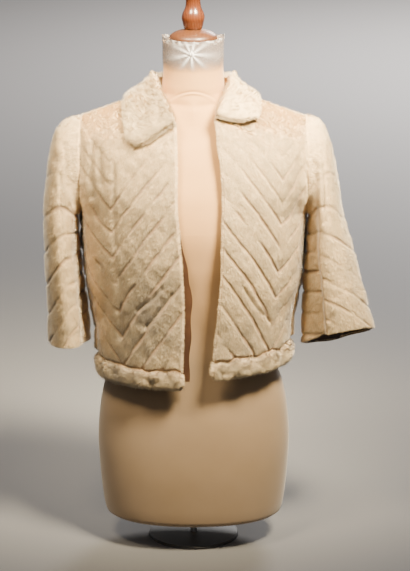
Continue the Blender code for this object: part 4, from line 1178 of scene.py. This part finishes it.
def make_front(name, creases, seed):
    """One front of the jacket: its pieced skin and the pile on it."""
    side = SIDES[name]
    row, column = np.meshgrid(np.linspace(0, BODY_ROWS, BODY_ROWS * ROW_FINE + 1),
                              np.linspace(EDGE_INSET, FRONT_COLUMNS, FRONT_COLUMNS * FRONT_FINE + 1),
                              indexing="ij")
    points = wander(front_points(side, column, row), row)
    outside = -side["sign"]
    strips = (row + front_step(column)) / ROWS_PER_STRIP
    panel = dress_skin(points, strips, outside, False, seed, groove_fade(points), creases)
    sink_hem_seam(panel, row)
    ease_armhole(panel, np.clip((column - FRONT_COLUMNS + 2) / 2, 0, 1), side["sign"], -1)
    shell = fur_shell("front_" + name + "_skin", panel, inner_side(points, outside, False, FUR_WALL),
                      [fur_leather, lining])
    random = np.random.default_rng(seed)
    groups = [pile_roots(panel, FRONT_PILE, random),
              edge_roots(panel, "first_column", 3200, random, 0.004),
              edge_roots(panel, "last_column", 1200, random, 0.002),
              edge_roots(panel, "first_row", 1200, random, 0.002)]
    pile = grow_pile("front_" + name + "_pile", groups, PILE_LENGTH, PILE_WIDTH, random)
    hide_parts("front_" + name)
    for piece in (shell, pile):
        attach(piece, "root")
    return shell, pile


RIGHT_FRONT_CREASES = (
    (-1, ((-0.193, 0.650), (-0.191, 0.560), (-0.184, 0.480)), 0.020, -0.0030),
    (-1, ((-0.192, 0.735), (-0.190, 0.660), (-0.192, 0.600)), 0.006, 0.0012),
    (-1, ((-0.172, 0.735), (-0.176, 0.690), (-0.172, 0.640)), 0.006, 0.0026),
    (-1, ((-0.160, 0.720), (-0.158, 0.665)), 0.006, 0.0022),
    (-1, ((-0.134, 0.700), (-0.136, 0.600), (-0.134, 0.560)), 0.004, 0.0016),
    (-1, ((-0.125, 0.500), (-0.130, 0.455), (-0.128, 0.395)), 0.005, 0.0022),
    (-1, ((-0.166, 0.520), (-0.150, 0.470), (-0.160, 0.420)), 0.008, 0.0030),
    (-1, ((-0.053, 0.492), (-0.072, 0.470), (-0.098, 0.448)), 0.0028, 0.0040),
    (-1, ((-0.036, 0.482), (-0.058, 0.452), (-0.082, 0.420)), 0.0028, 0.0036),
    # A trough under the collar's lower edge; like every crease it is darkened by painted shade.
    (-1, ((-0.034, 0.764), (-0.048, 0.766), (-0.058, 0.752), (-0.076, 0.736), (-0.098, 0.731)),
     0.0040, 0.0060),
)
right_front_skin, right_front_pile = make_front("right", RIGHT_FRONT_CREASES, 11)

# The brown lining hangs out a little behind this front's edge, more and more towards the hem
LINING_ROWS = (13, 31)
LINING_WIDENS = 9
LINING_OUT = 1.2
LINING_CLEAR = 0.0006
LINING_WALL = 0.0008

lining_row = np.linspace(*LINING_ROWS, 48)[:, None]
lining_out = LINING_OUT * np.clip((lining_row - LINING_ROWS[0]) / LINING_WIDENS, 0, 1) ** 1.3
lining_out = lining_out * (0.92 + 0.08 * np.sin(lining_row * 1.7))
lining_column = EDGE_INSET + 1.0 - np.linspace(0, 1, 8)[None, :] * (1.0 + lining_out)
lining_points = front_points(SIDES["right"], lining_column, lining_row + 0 * lining_column)
lining_back = inner_side(lining_points, -1, False, FUR_WALL + LINING_CLEAR + LINING_WALL)
lining_front = inner_side(lining_points, -1, False, FUR_WALL + LINING_CLEAR)
right_facing = loft("front_right_satin", np.concatenate([lining_back, lining_front[:, ::-1]], axis=1),
                    lining)
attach(right_facing, "root")


# WEARER'S LEFT FRONT
# The same cut as the right front, mirrored, and cleaner. It swings out a little further and
# hangs higher at the hem, and one seam low on it gapes.

LEFT_FRONT_CREASES = (
    (-1, ((0.193, 0.650), (0.191, 0.560), (0.184, 0.480)), 0.020, -0.0030),
    (-1, ((0.100, 0.738), (0.118, 0.722)), 0.005, 0.0020),
    (-1, ((0.112, 0.752), (0.130, 0.736)), 0.005, 0.0016),
    (-1, ((0.180, 0.700), (0.182, 0.640), (0.178, 0.600)), 0.007, 0.0028),
    (-1, ((0.086, 0.492), (0.108, 0.455), (0.133, 0.424)), 0.0028, 0.0042),
    (-1, ((0.150, 0.520), (0.152, 0.430)), 0.008, 0.0022),
    # A trough under the lifted collar point, darkened as painted shadow.
    (-1, ((0.048, 0.776), (0.0757, 0.769), (0.098, 0.758)), 0.0050, 0.0060),
)
left_front_skin, left_front_pile = make_front("left", LEFT_FRONT_CREASES, 23)


# BACK
# One pelt from side seam to side seam, cut straight at the top for the shoulder seams and
# hollowed for the neck. Its strips meet in a V on each half and in an upturned V at the middle.

BACK_HALF_COLUMNS = 18
BACK_V_COLUMN = 12
BACK_V_SHARE = 0.75
BACK_NECK_Y = 0.0620
BACK_NECK_Z = 0.8060
ARMHOLE_BACK = 0.0600
BACK_FINE = 4
BACK_PILE = 128000


def back_top(half):
    """Top edge of the back: half the neckline, then the shoulder seam."""
    neck = BACK_HALF_COLUMNS / 3
    turn = np.pi / 2 * np.minimum(1, half / neck)
    share = np.clip((half - neck) / (BACK_HALF_COLUMNS - neck), 0, 1)
    x = np.where(half <= neck, NECK_POINT_X * np.sin(turn),
                 NECK_POINT_X + (SHOULDER_TIP_X - NECK_POINT_X) * share)
    y = np.where(half <= neck, BACK_NECK_Y * np.cos(turn), 0)
    z = np.where(half <= neck, BACK_NECK_Z + (NECK_POINT_Z - BACK_NECK_Z) * half / neck,
                 NECK_POINT_Z + (SHOULDER_TIP_Z - NECK_POINT_Z) * share)
    return np.stack([x, y, z], axis=-1)


def back_section(side, half, row):
    """Points of half the back on level sections, from the centre out to one side."""
    low = (SIDES["right"]["hem_side"] + SIDES["left"]["hem_side"]) / 2 + BAND_HEIGHT
    share = row_share(row / BODY_ROWS)
    z = BACK_NECK_Z + (low - BACK_NECK_Z) * share
    depth = read(BODICE, "z", "back", z)
    depth = np.where(row < NECK_ROWS, BACK_NECK_Y + (depth - BACK_NECK_Y) * row / NECK_ROWS, depth)
    far_z = SHOULDER_TIP_Z + (side["hem_side"] + BAND_HEIGHT - SHOULDER_TIP_Z) * share
    far, turn = side_end(far_z, ARMHOLE_BACK)
    return section((0 * z, depth, z), far, turn, half, BACK_HALF_COLUMNS, BACK_V_COLUMN, BACK_V_SHARE)


def back_points(column, row):
    """Outer points of the back. Columns run from the wearer's right side, 0, to the left."""
    half = np.abs(column - BACK_HALF_COLUMNS)
    fade = np.maximum(0, 1 - row / (2 * NECK_ROWS)) ** 2
    made = {}
    for name, side in SIDES.items():
        top = back_top(half) - back_section(side, half, 0 * row)
        made[name] = (back_section(side, half, row) + top * fade[..., None]) * (side["sign"], 1, 1)
    left = (column >= BACK_HALF_COLUMNS)[..., None]
    return np.where(left, made["left"], made["right"]) + (0, SEAM_GAP / 2, 0)


def back_step(column):
    """How many rows lower a seam between strips lies than at the centre back."""
    half = np.abs(column - BACK_HALF_COLUMNS)
    return np.where(half <= BACK_V_COLUMN, -half, half - 2 * BACK_V_COLUMN)


BACK_CREASES = (
    (1, ((-0.191, 0.600), (-0.186, 0.540), (-0.178, 0.440), (-0.173, 0.330)), 0.028, -0.0095),
    (1, ((0.191, 0.600), (0.186, 0.540), (0.178, 0.440), (0.173, 0.340)), 0.028, -0.0095),
    (1, ((-0.150, 0.730), (-0.146, 0.680), (-0.150, 0.640)), 0.008, 0.0028),
    (1, ((0.152, 0.730), (0.148, 0.675), (0.152, 0.625)), 0.008, 0.0030),
    (1, ((-0.060, 0.560), (-0.010, 0.540), (0.045, 0.552)), 0.011, 0.0022),
    (1, ((0.090, 0.520), (0.095, 0.430), (0.088, 0.370)), 0.011, -0.0024),
    (1, ((-0.105, 0.500), (-0.100, 0.420), (-0.108, 0.360)), 0.011, -0.0022),
)
row, column = np.meshgrid(np.linspace(0, BODY_ROWS, BODY_ROWS * ROW_FINE + 1),
                          np.linspace(0, 2 * BACK_HALF_COLUMNS, 2 * BACK_HALF_COLUMNS * BACK_FINE + 1),
                          indexing="ij")
back_grid = wander(back_points(column, row), row)
back = dress_skin(back_grid, (row + back_step(column)) / ROWS_PER_STRIP, 1, False, 37,
                  groove_fade(back_grid), BACK_CREASES)
sink_hem_seam(back, row)
back_skin = fur_shell("back_skin", back, inner_side(back_grid, 1, False, FUR_WALL), [fur_leather, lining])
random = np.random.default_rng(37)
back_groups = [pile_roots(back, BACK_PILE, random)]
for open_edge, count in (("first_column", 2600), ("last_column", 2600), ("first_row", 2400)):
    back_groups.append(edge_roots(back, open_edge, count, random, 0.002))
back_pile = grow_pile("back_pile", back_groups, PILE_LENGTH, PILE_WIDTH, random)
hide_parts("back")
for piece in (back_skin, back_pile):
    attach(piece, "root")


# SLEEVES
# Two bell sleeves to the elbow, each one pelt sewn to a tube under the arm and into the
# armhole. The left one is wider and hangs in a deep fold beside the body.

SLEEVE_COLUMNS = 30
SLEEVE_ROWS = 21
SLEEVE_FINE = 5
FOLD_GROWTH = 0.35
SLEEVE_PILE = 105000
CUFF_INSET = 0.15

SLEEVES = {
    "right": columns(
        "along top_x   top_z   under_x under_z front   back    front_up back_down",
        (0.00, 0.1935, 0.7650, 0.1935, 0.6000, 0.0620, 0.0600, 0.000,   0.000),
        (0.05, 0.2165, 0.7590, 0.1975, 0.5945, 0.0665, 0.0650, 0.000,   0.000),
        (0.10, 0.2335, 0.7440, 0.1988, 0.5850, 0.0720, 0.0700, 0.000,   0.000),
        (0.15, 0.2430, 0.7220, 0.1985, 0.5740, 0.0765, 0.0745, 0.001,   0.001),
        (0.20, 0.2487, 0.6980, 0.1978, 0.5630, 0.0800, 0.0780, 0.002,   0.002),
        (0.30, 0.2562, 0.6500, 0.1960, 0.5400, 0.0850, 0.0820, 0.003,   0.003),
        (0.40, 0.2610, 0.5980, 0.1940, 0.5150, 0.0880, 0.0840, 0.004,   0.004),
        (0.60, 0.2600, 0.5120, 0.1890, 0.4630, 0.0900, 0.0860, 0.006,   0.006),
        (0.80, 0.2565, 0.4320, 0.1825, 0.4120, 0.0890, 0.0870, 0.008,   0.008),
        (1.00, 0.2570, 0.3560, 0.1785, 0.3600, 0.0880, 0.0880, 0.010,   0.010),
    ),
    "left": columns(
        "along top_x   top_z   under_x under_z front   back    front_up back_down",
        (0.00, 0.1935, 0.7650, 0.1935, 0.6000, 0.0620, 0.0600, 0.000,   0.000),
        (0.05, 0.2125, 0.7590, 0.1975, 0.5945, 0.0670, 0.0640, 0.000,   0.000),
        (0.10, 0.2270, 0.7440, 0.1988, 0.5850, 0.0740, 0.0680, 0.000,   0.000),
        (0.15, 0.2360, 0.7220, 0.1985, 0.5740, 0.0785, 0.0710, 0.001,   0.001),
        (0.20, 0.2420, 0.6980, 0.1978, 0.5630, 0.0820, 0.0740, 0.002,   0.002),
        (0.30, 0.2510, 0.6500, 0.1960, 0.5400, 0.0860, 0.0770, 0.005,   0.004),
        (0.40, 0.2600, 0.6000, 0.1940, 0.5150, 0.0885, 0.0780, 0.009,   0.007),
        (0.60, 0.2830, 0.5150, 0.1900, 0.4630, 0.0905, 0.0780, 0.018,   0.013),
        (0.80, 0.3030, 0.4430, 0.1885, 0.4100, 0.0920, 0.0770, 0.026,   0.019),
        (1.00, 0.3210, 0.3800, 0.1885, 0.3540, 0.0930, 0.0750, 0.033,   0.024),
    ),
}
SLEEVE_FOLDS = {
    "right": columns(
        "angle outer inner depth starts",
        (150,  26,   40,   0.010, 0.05),
        (285,  30,   30,   0.006, 0.25),
    ),
    "left": columns(
        "angle outer inner depth starts",
        (126,  14,   50,   0.031, 0.02),
        (262,  34,   34,   0.009, 0.30),
        (40,   26,   26,   0.004, 0.45),
    ),
}
SLEEVE_ZIGZAG = (0, 0.15, 0.5, 1.0, 1.6, 2.3, 3.0, 3.8, 4.6, 5.4, 5.9, 6.4, 6.8, 7.2, 7.5, 7.5)
SLEEVE_CREASES = {
    "right": (
        (-1, ((-0.1985, 0.630), (-0.1975, 0.560), (-0.1950, 0.480)), 0.016, -0.0030),
        (-1, ((-0.219, 0.725), (-0.212, 0.690), (-0.211, 0.655)), 0.0050, 0.0024),
        (-1, ((-0.226, 0.676), (-0.221, 0.640), (-0.218, 0.612)), 0.0050, 0.0030),
        (-1, ((-0.205, 0.715), (-0.2035, 0.690), (-0.2040, 0.620)), 0.0050, 0.0016),
        (-1, ((-0.236, 0.700), (-0.226, 0.708)), 0.0050, 0.0022),
        (-1, ((-0.238, 0.652), (-0.226, 0.664)), 0.0060, 0.0020),
    ),
    "left": (
        (-1, ((0.1985, 0.630), (0.1975, 0.560), (0.1950, 0.480)), 0.016, -0.0030),
        (-1, ((0.2195, 0.690), (0.2200, 0.660), (0.2205, 0.620)), 0.0050, 0.0030),
        (-1, ((0.205, 0.690), (0.207, 0.640), (0.206, 0.560)), 0.0060, 0.0020),
        (-1, ((0.196, 0.600), (0.204, 0.550), (0.203, 0.500)), 0.0060, -0.0025),
    ),
}


def sleeve_points(name, column, row):
    """Outer points of a sleeve: column 0 is over the arm, and columns run towards the front."""
    table = SLEEVES[name]
    along = row / SLEEVE_ROWS
    angle = 2 * np.pi * column / SLEEVE_COLUMNS
    size = {key: read(table, "along", key, along) for key in table if key != "along"}
    middle_x = (size["top_x"] + size["under_x"]) / 2
    middle_z = (size["top_z"] + size["under_z"]) / 2
    forward = np.sin(angle)
    ahead = forward >= 0
    x = middle_x + (size["top_x"] - size["under_x"]) / 2 * np.cos(angle)
    y = -np.where(ahead, size["front"], size["back"]) * forward
    z = (middle_z + (size["top_z"] - size["under_z"]) / 2 * np.cos(angle)
         + np.where(ahead, size["front_up"], size["back_down"]) * forward)
    inward = unit(np.stack([middle_x - x, -y, 0 * z], axis=-1))
    folds = SLEEVE_FOLDS[name]
    depth = 0.0
    for k, centre in enumerate(folds["angle"]):
        away = (np.degrees(angle) - centre + 180) % 360 - 180
        width = np.where(away > 0, folds["inner"][k], folds["outer"][k])
        grown = np.clip((along - folds["starts"][k]) / FOLD_GROWTH, 0, 1)
        bell = np.cos(np.pi / 2 * np.minimum(1, np.abs(away) / width)) ** 2
        depth = depth + folds["depth"][k] * bell * grown
    points = np.stack([x, y, z], axis=-1) + inward * depth[..., None]
    return points * (SIDES[name]["sign"], 1, 1)


def sleeve_step(column):
    """How many rows lower a seam between strips lies than at the seam of the sleeve."""
    half = np.minimum(column % SLEEVE_COLUMNS, SLEEVE_COLUMNS - column % SLEEVE_COLUMNS)
    return np.interp(half, np.arange(len(SLEEVE_ZIGZAG)), SLEEVE_ZIGZAG)


for name, seed in (("right", 51), ("left", 67)):
    sign = SIDES[name]["sign"]
    down = np.linspace(0, SLEEVE_ROWS - CUFF_INSET, SLEEVE_ROWS * SLEEVE_FINE + 2)[:-2]
    row, column = np.meshgrid(down, np.arange(0, SLEEVE_COLUMNS, 1 / SLEEVE_FINE), indexing="ij")
    points = sleeve_points(name, column, row)
    panel = dress_skin(points, (row + sleeve_step(column)) / ROWS_PER_STRIP, sign, True, seed,
                       0.70 * groove_fade(points), SLEEVE_CREASES[name])
    forward_face = np.clip(-points[..., 1] / 0.03, 0, 1)
    ease_armhole(panel, np.clip(2.5 - row, 0, 1) * forward_face, sign, -1)
    skin = fur_shell("sleeve_" + name + "_skin", panel, inner_side(points, sign, True, FUR_WALL),
                     [fur_leather, lining])
    random = np.random.default_rng(seed)
    groups = [pile_roots(panel, SLEEVE_PILE, random),
              edge_roots(panel, "last_row", 7000, random, 0.005),
              edge_roots(panel, "first_row", 2600, random, 0.003)]
    pile = grow_pile("sleeve_" + name + "_pile", groups, PILE_LENGTH, PILE_WIDTH, random)
    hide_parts("sleeve_" + name)
    for piece in (skin, pile):
        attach(piece, "root")


# CUFF FACINGS
# Brown satin, sewn in along the cuff and up the inside of each sleeve. It shows where the
# left cuff tips towards the front.

FACING_FIRST_ROW = 15
FACING_CLEAR = 0.0006
FACING_WALL = 0.0008

for name in ("right", "left"):
    sign = SIDES[name]["sign"]
    row, column = np.meshgrid(np.linspace(FACING_FIRST_ROW, SLEEVE_ROWS - CUFF_INSET - 0.1, 21),
                              np.arange(0, SLEEVE_COLUMNS, 0.5), indexing="ij")
    points = sleeve_points(name, column, row)
    puckers = FACING_CLEAR + 0.0012 * drift(points * (1, 1, 0.3), 0.012, 71)
    outer = inner_side(points, sign, True, FUR_WALL + puckers[..., None])
    inner = inner_side(points, sign, True, FUR_WALL + FACING_WALL + puckers[..., None])
    facing = loft("cuff_facing_" + name + "_satin", np.concatenate([outer, inner[::-1]]), lining,
                  closed_ends=False)
    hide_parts("cuff_facing_" + name)
    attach(facing, "root")


# HEM BAND
# A separate strip of fuller, lumpier fur all round the hem in three lengths, sewn on with a
# seam that wanders up and down and sinks deep into the pile.

BAND_PILE_LENGTH = 0.0085
BAND_ROWS = 16


def make_band(name, top, outside, hem_z, count, open_edges, seed):
    """A band from the last row of a panel down to the hem, bulging a little."""
    across = top.shape[0]
    share = np.linspace(0, 1, BAND_ROWS + 1)[:, None]
    reach = np.linspace(0, 1, across)
    start = top[:, 2] - SEAM_GAP + hem_wave(top)
    low = hem_z(reach) + 0.0045
    z = start + (low - start) * share
    points = np.stack([top[:, 0] + 0 * z, top[:, 1] + 0 * z, z], axis=-1)
    slope_across, slope_down = grid_slopes(points, False)
    normals = unit(np.cross(slope_across, slope_down)) * outside
    bulge = (0.0030 * np.clip(np.sin(np.pi * share), 0, 1) ** 0.6
             - 0.0020 * np.maximum(0, share - 0.8) / 0.2)
    bulge = bulge - HEM_SINK * np.exp(-(share / 0.10) ** 2)
    lumps = 0.0075 * (drift(points, 0.017, seed) - 0.5) + 0.0030 * (drift(points, 0.008, seed + 9) - 0.5)
    panel = dress_skin(points + normals * (bulge + lumps)[..., None], z * 0 + 0.5, outside, False,
                       seed, groove=0.0, lumps=0.0010, grey=0.05)
    panel["from_seam"] = np.broadcast_to(share * BAND_HEIGHT, z.shape) + 0.0006
    panel["above_hem"] = panel["from_seam"]
    panel["depth"] = np.ones_like(z)
    shell = fur_shell("hem_band_" + name + "_skin", panel, inner_side(points, outside, False, FUR_WALL),
                      [fur_leather, lining])
    random = np.random.default_rng(seed)
    groups = [pile_roots(panel, count, random),
              edge_roots(panel, "last_row", count // 7, random, 0.005)]
    for open_edge in open_edges:
        groups.append(edge_roots(panel, open_edge, 500, random, 0.005))
    pile = grow_pile("hem_band_" + name + "_pile", groups, BAND_PILE_LENGTH, PILE_WIDTH, random,
                     lean=0.60, loose=0.28, clumps=1.1)
    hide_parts("hem_band_" + name)
    for piece in (shell, pile):
        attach(piece, "root")
    return shell, pile


for name, seed in (("right", 81), ("left", 83)):
    side = SIDES[name]
    column = np.linspace(EDGE_INSET, FRONT_COLUMNS, FRONT_COLUMNS * FRONT_FINE + 1)
    top = front_points(side, column, np.full_like(column, BODY_ROWS))

    def front_hem(reach, side=side):
        return side["hem_centre"] + (side["hem_side"] - side["hem_centre"]) * reach

    shell, pile = make_band("front_" + name, top, -side["sign"], front_hem, 15000, ["first_column"], seed)

column = np.linspace(0, 2 * BACK_HALF_COLUMNS, 2 * BACK_HALF_COLUMNS * BACK_FINE + 1)
back_low = back_points(column, np.full_like(column, BODY_ROWS))


def back_hem(reach):
    """Height of the back's hem, a little lower at one side seam than at the other."""
    return SIDES["right"]["hem_side"] + (SIDES["left"]["hem_side"] - SIDES["right"]["hem_side"]) * reach


shell, pile = make_band("back", back_low, 1, back_hem, 30000, [], 89)


# COLLAR
# A small turned-down collar of the same fur, its hair a little longer. It stands against the
# neck, rolls over and falls on the fronts in two blunt points, the left one lifted off the fur.

COLLAR_WALL = 0.0075
COLLAR_STAND_WALL = 0.0045
COLLAR_CLEAR = 0.0016
COLLAR_ROLL_RISE = 0.002
COLLAR_STATIONS = 64
COLLAR_STRIP_STATIONS = 16.0
COLLAR_PILE_LENGTH = 0.0072
COLLAR_EDGE_PILE = (("first_row", 1300), ("last_row", 1300), ("last_column", 5200))
COLLAR_ROLL_PILE = 5200
COLLAR_STEPS = 22
COLLAR_PILE = 46000
LEFT_POINT_LIFT = 0.011
COLLAR_FRONT = columns(
    "along neck_row edge_right edge_left row_right row_left stand",
    (0.00, 3.25,    4.50,      3.60,     4.70,     3.10,    0.003),
    (0.30, 2.30,    5.90,      4.80,     3.60,     2.70,    0.008),
    (0.65, 1.20,    6.10,      4.70,     1.80,     1.45,    0.013),
    (1.00, 0.00,    5.60,      4.28,     0.00,     0.00,    0.016),
)
COLLAR_BACK = columns(
    "along neck_column edge_column edge_row stand",
    (0.00, 6.00,       10.30,      0.00,    0.016),
    (0.35, 4.20,       8.40,       2.00,    0.015),
    (0.70, 2.00,       4.20,       3.10,    0.014),
    (1.00, 0.00,       0.00,       3.50,    0.014),
)


def collar_half(name):
    """Sections of half the collar, from its front point to the centre back."""
    side = SIDES[name]
    sign = side["sign"]
    from_end = np.linspace(0, 1, COLLAR_STATIONS + 1)[:, None]
    out = np.linspace(0, 1, COLLAR_STEPS + 1)[None, :]
    share = np.clip(from_end / 0.5, 0, 1)
    front_row = read(COLLAR_FRONT, "along", "neck_row", share)
    front_edge = read(COLLAR_FRONT, "along", "edge_" + name, share)
    front_low = read(COLLAR_FRONT, "along", "row_" + name, share)
    column = front_edge * out
    row = front_row + (front_low - front_row) * out
    step = 0.02
    def front(c, r):
        return front_points(side, np.maximum(c, 0), np.maximum(r, 0))
    place = front(column, row)
    normal = unit(np.cross(front(column + step, row) - front(np.maximum(column - step, 0), row),
                           front(column, row + step) - front(column, row - step))) * -sign
    fall = (NECK_POINT_Z - SHOULDER_TIP_Z) / (SHOULDER_TIP_X - NECK_POINT_X)
    shoulder = unit(np.array((sign * fall, 0, 1.0)))
    near_seam = np.maximum(0, 1 - row / 2)[..., None]
    normal = unit(normal * (1 - near_seam) + shoulder * near_seam)
    stand = read(COLLAR_FRONT, "along", "stand", share)
    share_b = np.clip((from_end - 0.5) / 0.5, 0, 1)
    neck_column = read(COLLAR_BACK, "along", "neck_column", share_b)
    edge_column = read(COLLAR_BACK, "along", "edge_column", share_b)
    edge_row = read(COLLAR_BACK, "along", "edge_row", share_b)
    column_b = BACK_HALF_COLUMNS + sign * (neck_column + (edge_column - neck_column) * out)
    row_b = edge_row * out
    place_b = back_points(column_b, row_b)
    along_b = back_points(column_b + step, row_b) - back_points(column_b - step, row_b)
    down_b = (back_points(column_b, row_b + step)
              - back_points(column_b, np.maximum(row_b - step, 0)))
    normal_b = unit(np.cross(along_b, down_b))
    neck = BACK_HALF_COLUMNS / 3
    on_shoulder = np.clip((np.abs(column_b - BACK_HALF_COLUMNS) - neck) / 1.5 + 1, 0, 1)
    near_seam = (np.maximum(0, 1 - row_b / 2) * on_shoulder)[..., None]
    normal_b = unit(normal_b * (1 - near_seam) + shoulder * near_seam)
    stand_b = read(COLLAR_BACK, "along", "stand", share_b)
    in_front = (from_end < 0.5)[..., None]
    place = np.where(in_front, place, place_b)
    normal = np.where(in_front, normal, normal_b)
    stand = np.where(from_end < 0.5, stand, stand_b)
    lift = stand * (1 - out) ** 2
    if name == "left":
        lift = lift + LEFT_POINT_LIFT * out ** 2 * np.exp(-((from_end - 0.10) / 0.16) ** 2)
    return place + normal * COLLAR_CLEAR + np.stack([0 * lift, 0 * lift, lift], axis=-1), normal


right_half, right_normal = collar_half("right")
left_half, left_normal = collar_half("left")
under = np.concatenate([right_half, left_half[-2::-1]])
fall_normal = np.concatenate([right_normal, left_normal[-2::-1]])
for _ in range(3):
    fall_normal[1:-1] = unit(fall_normal[:-2] + 2 * fall_normal[1:-1] + fall_normal[2:])
    under[1:-1] = (under[:-2] + 2 * under[1:-1] + under[2:]) / 4
out = np.linspace(0, 1, COLLAR_STEPS + 1)[None, :]
along_end = np.minimum(np.arange(len(under)), np.arange(len(under))[::-1])[:, None] / 6
plump = np.sqrt(np.clip(1 - np.clip((out - 0.80) / 0.22, 0, 1) ** 2, 0.05, 1))
plump = plump * np.sqrt(np.clip(1 - np.clip(1 - along_end, 0, 1) ** 2 * 0.9, 0, 1))
over = under + fall_normal * (0.0012 + COLLAR_WALL * plump)[..., None]
over = over + np.stack([0 * out, 0 * out, COLLAR_ROLL_RISE * (1 - out)], axis=-1)
inward = unit(-over[:, :1] * (1, 1, 0))
stand_top = under[:, :1] + inward * COLLAR_STAND_WALL
foot_out = np.concatenate([right_half, left_half[-2::-1]])[:, :1]
half_share = np.clip(np.linspace(0, 1, COLLAR_STATIONS + 1) / 0.5, 0, 1)
half_drop = read(COLLAR_FRONT, "along", "stand", half_share)
foot_drop = np.concatenate([half_drop, half_drop[-2::-1]])
foot_out = foot_out - np.stack([0 * foot_drop, 0 * foot_drop, foot_drop], axis=-1)[:, None, :]
foot_in = foot_out + inward * COLLAR_STAND_WALL
roll = (stand_top + over[:, :1]) / 2 + inward * 0.0012 + (0, 0, 0.0022)

collar_strips = np.abs(np.arange(len(over)) - COLLAR_STATIONS)[:, None] / COLLAR_STRIP_STATIONS
collar_strips = np.broadcast_to(collar_strips, over.shape[:2])
collar_panel = dress_skin(over, collar_strips, -1, False, 97, groove=0.12, lumps=0.0010, grey=0.03)
greyer = np.exp(-(np.arange(len(over)) / 30.0) ** 2)[:, None]
collar_panel["nap"] = collar_panel["across"]
collar_panel["long"] = 1 + 0.55 * greyer + 0 * over[..., 0]
collar_panel["normals"] = unit(collar_panel["normals"] + 1.5 * fall_normal)
collar_panel["clean_and_lit"] = collar_panel["clean_and_lit"] - 0.22 * greyer * drift(over, 0.02, 98)
skin_ring = np.concatenate([foot_out, foot_in, stand_top, roll - (0, 0, 0.0015),
                            collar_panel["points"], under[:, ::-1]], axis=1)
collar_skin = loft("collar_skin", skin_ring, fur_leather)
collar_skin.data.materials.append(lining)
under_start = skin_ring.shape[1] - under.shape[1]
ring_size = skin_ring.shape[1]
for face in collar_skin.data.polygons:
    lowest = min(v % ring_size for v in face.vertices)
    if len(face.vertices) == 4 and lowest >= under_start - 1:
        face.material_index = 1
flat_tones = np.tile((0.72, 0.5, 0.5), (len(collar_skin.data.vertices), 1))
set_tones(collar_skin.data, flat_tones)
random = np.random.default_rng(97)
collar_groups = [pile_roots(collar_panel, COLLAR_PILE, random)]
for open_edge, count in COLLAR_EDGE_PILE:
    collar_groups.append(edge_roots(collar_panel, open_edge, count, random, 0.004))
roll_band = np.concatenate([stand_top, roll, over[:, :2]], axis=1)
roll_across, roll_down = grid_slopes(roll_band, False)
roll_flat = np.zeros(roll_band.shape[:2])
roll_panel = {"points": roll_band, "normals": -unit(np.cross(roll_across, roll_down)),
              "across": unit(roll_across), "down": unit(roll_down), "nap": unit(roll_across),
              "phase": roll_flat + 0.5, "steep": roll_flat + LEAST_STEEP, "above_hem": roll_flat + 1,
              "long": roll_flat + 0.8, "fall": roll_flat, "depth": roll_flat,
              "clean_and_lit": np.repeat(collar_panel["clean_and_lit"][:, :1], 4, axis=1),
              "warm": np.repeat(collar_panel["warm"][:, :1], 4, axis=1), "closed": False}
collar_groups.append(pile_roots(roll_panel, COLLAR_ROLL_PILE, random))
collar_pile = grow_pile("collar_pile", collar_groups, COLLAR_PILE_LENGTH, PILE_WIDTH, random, lean=0.75,
                        loose=0.25, clumps=0.8)
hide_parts("collar")
for piece in (collar_skin, collar_pile):
    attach(piece, "root")
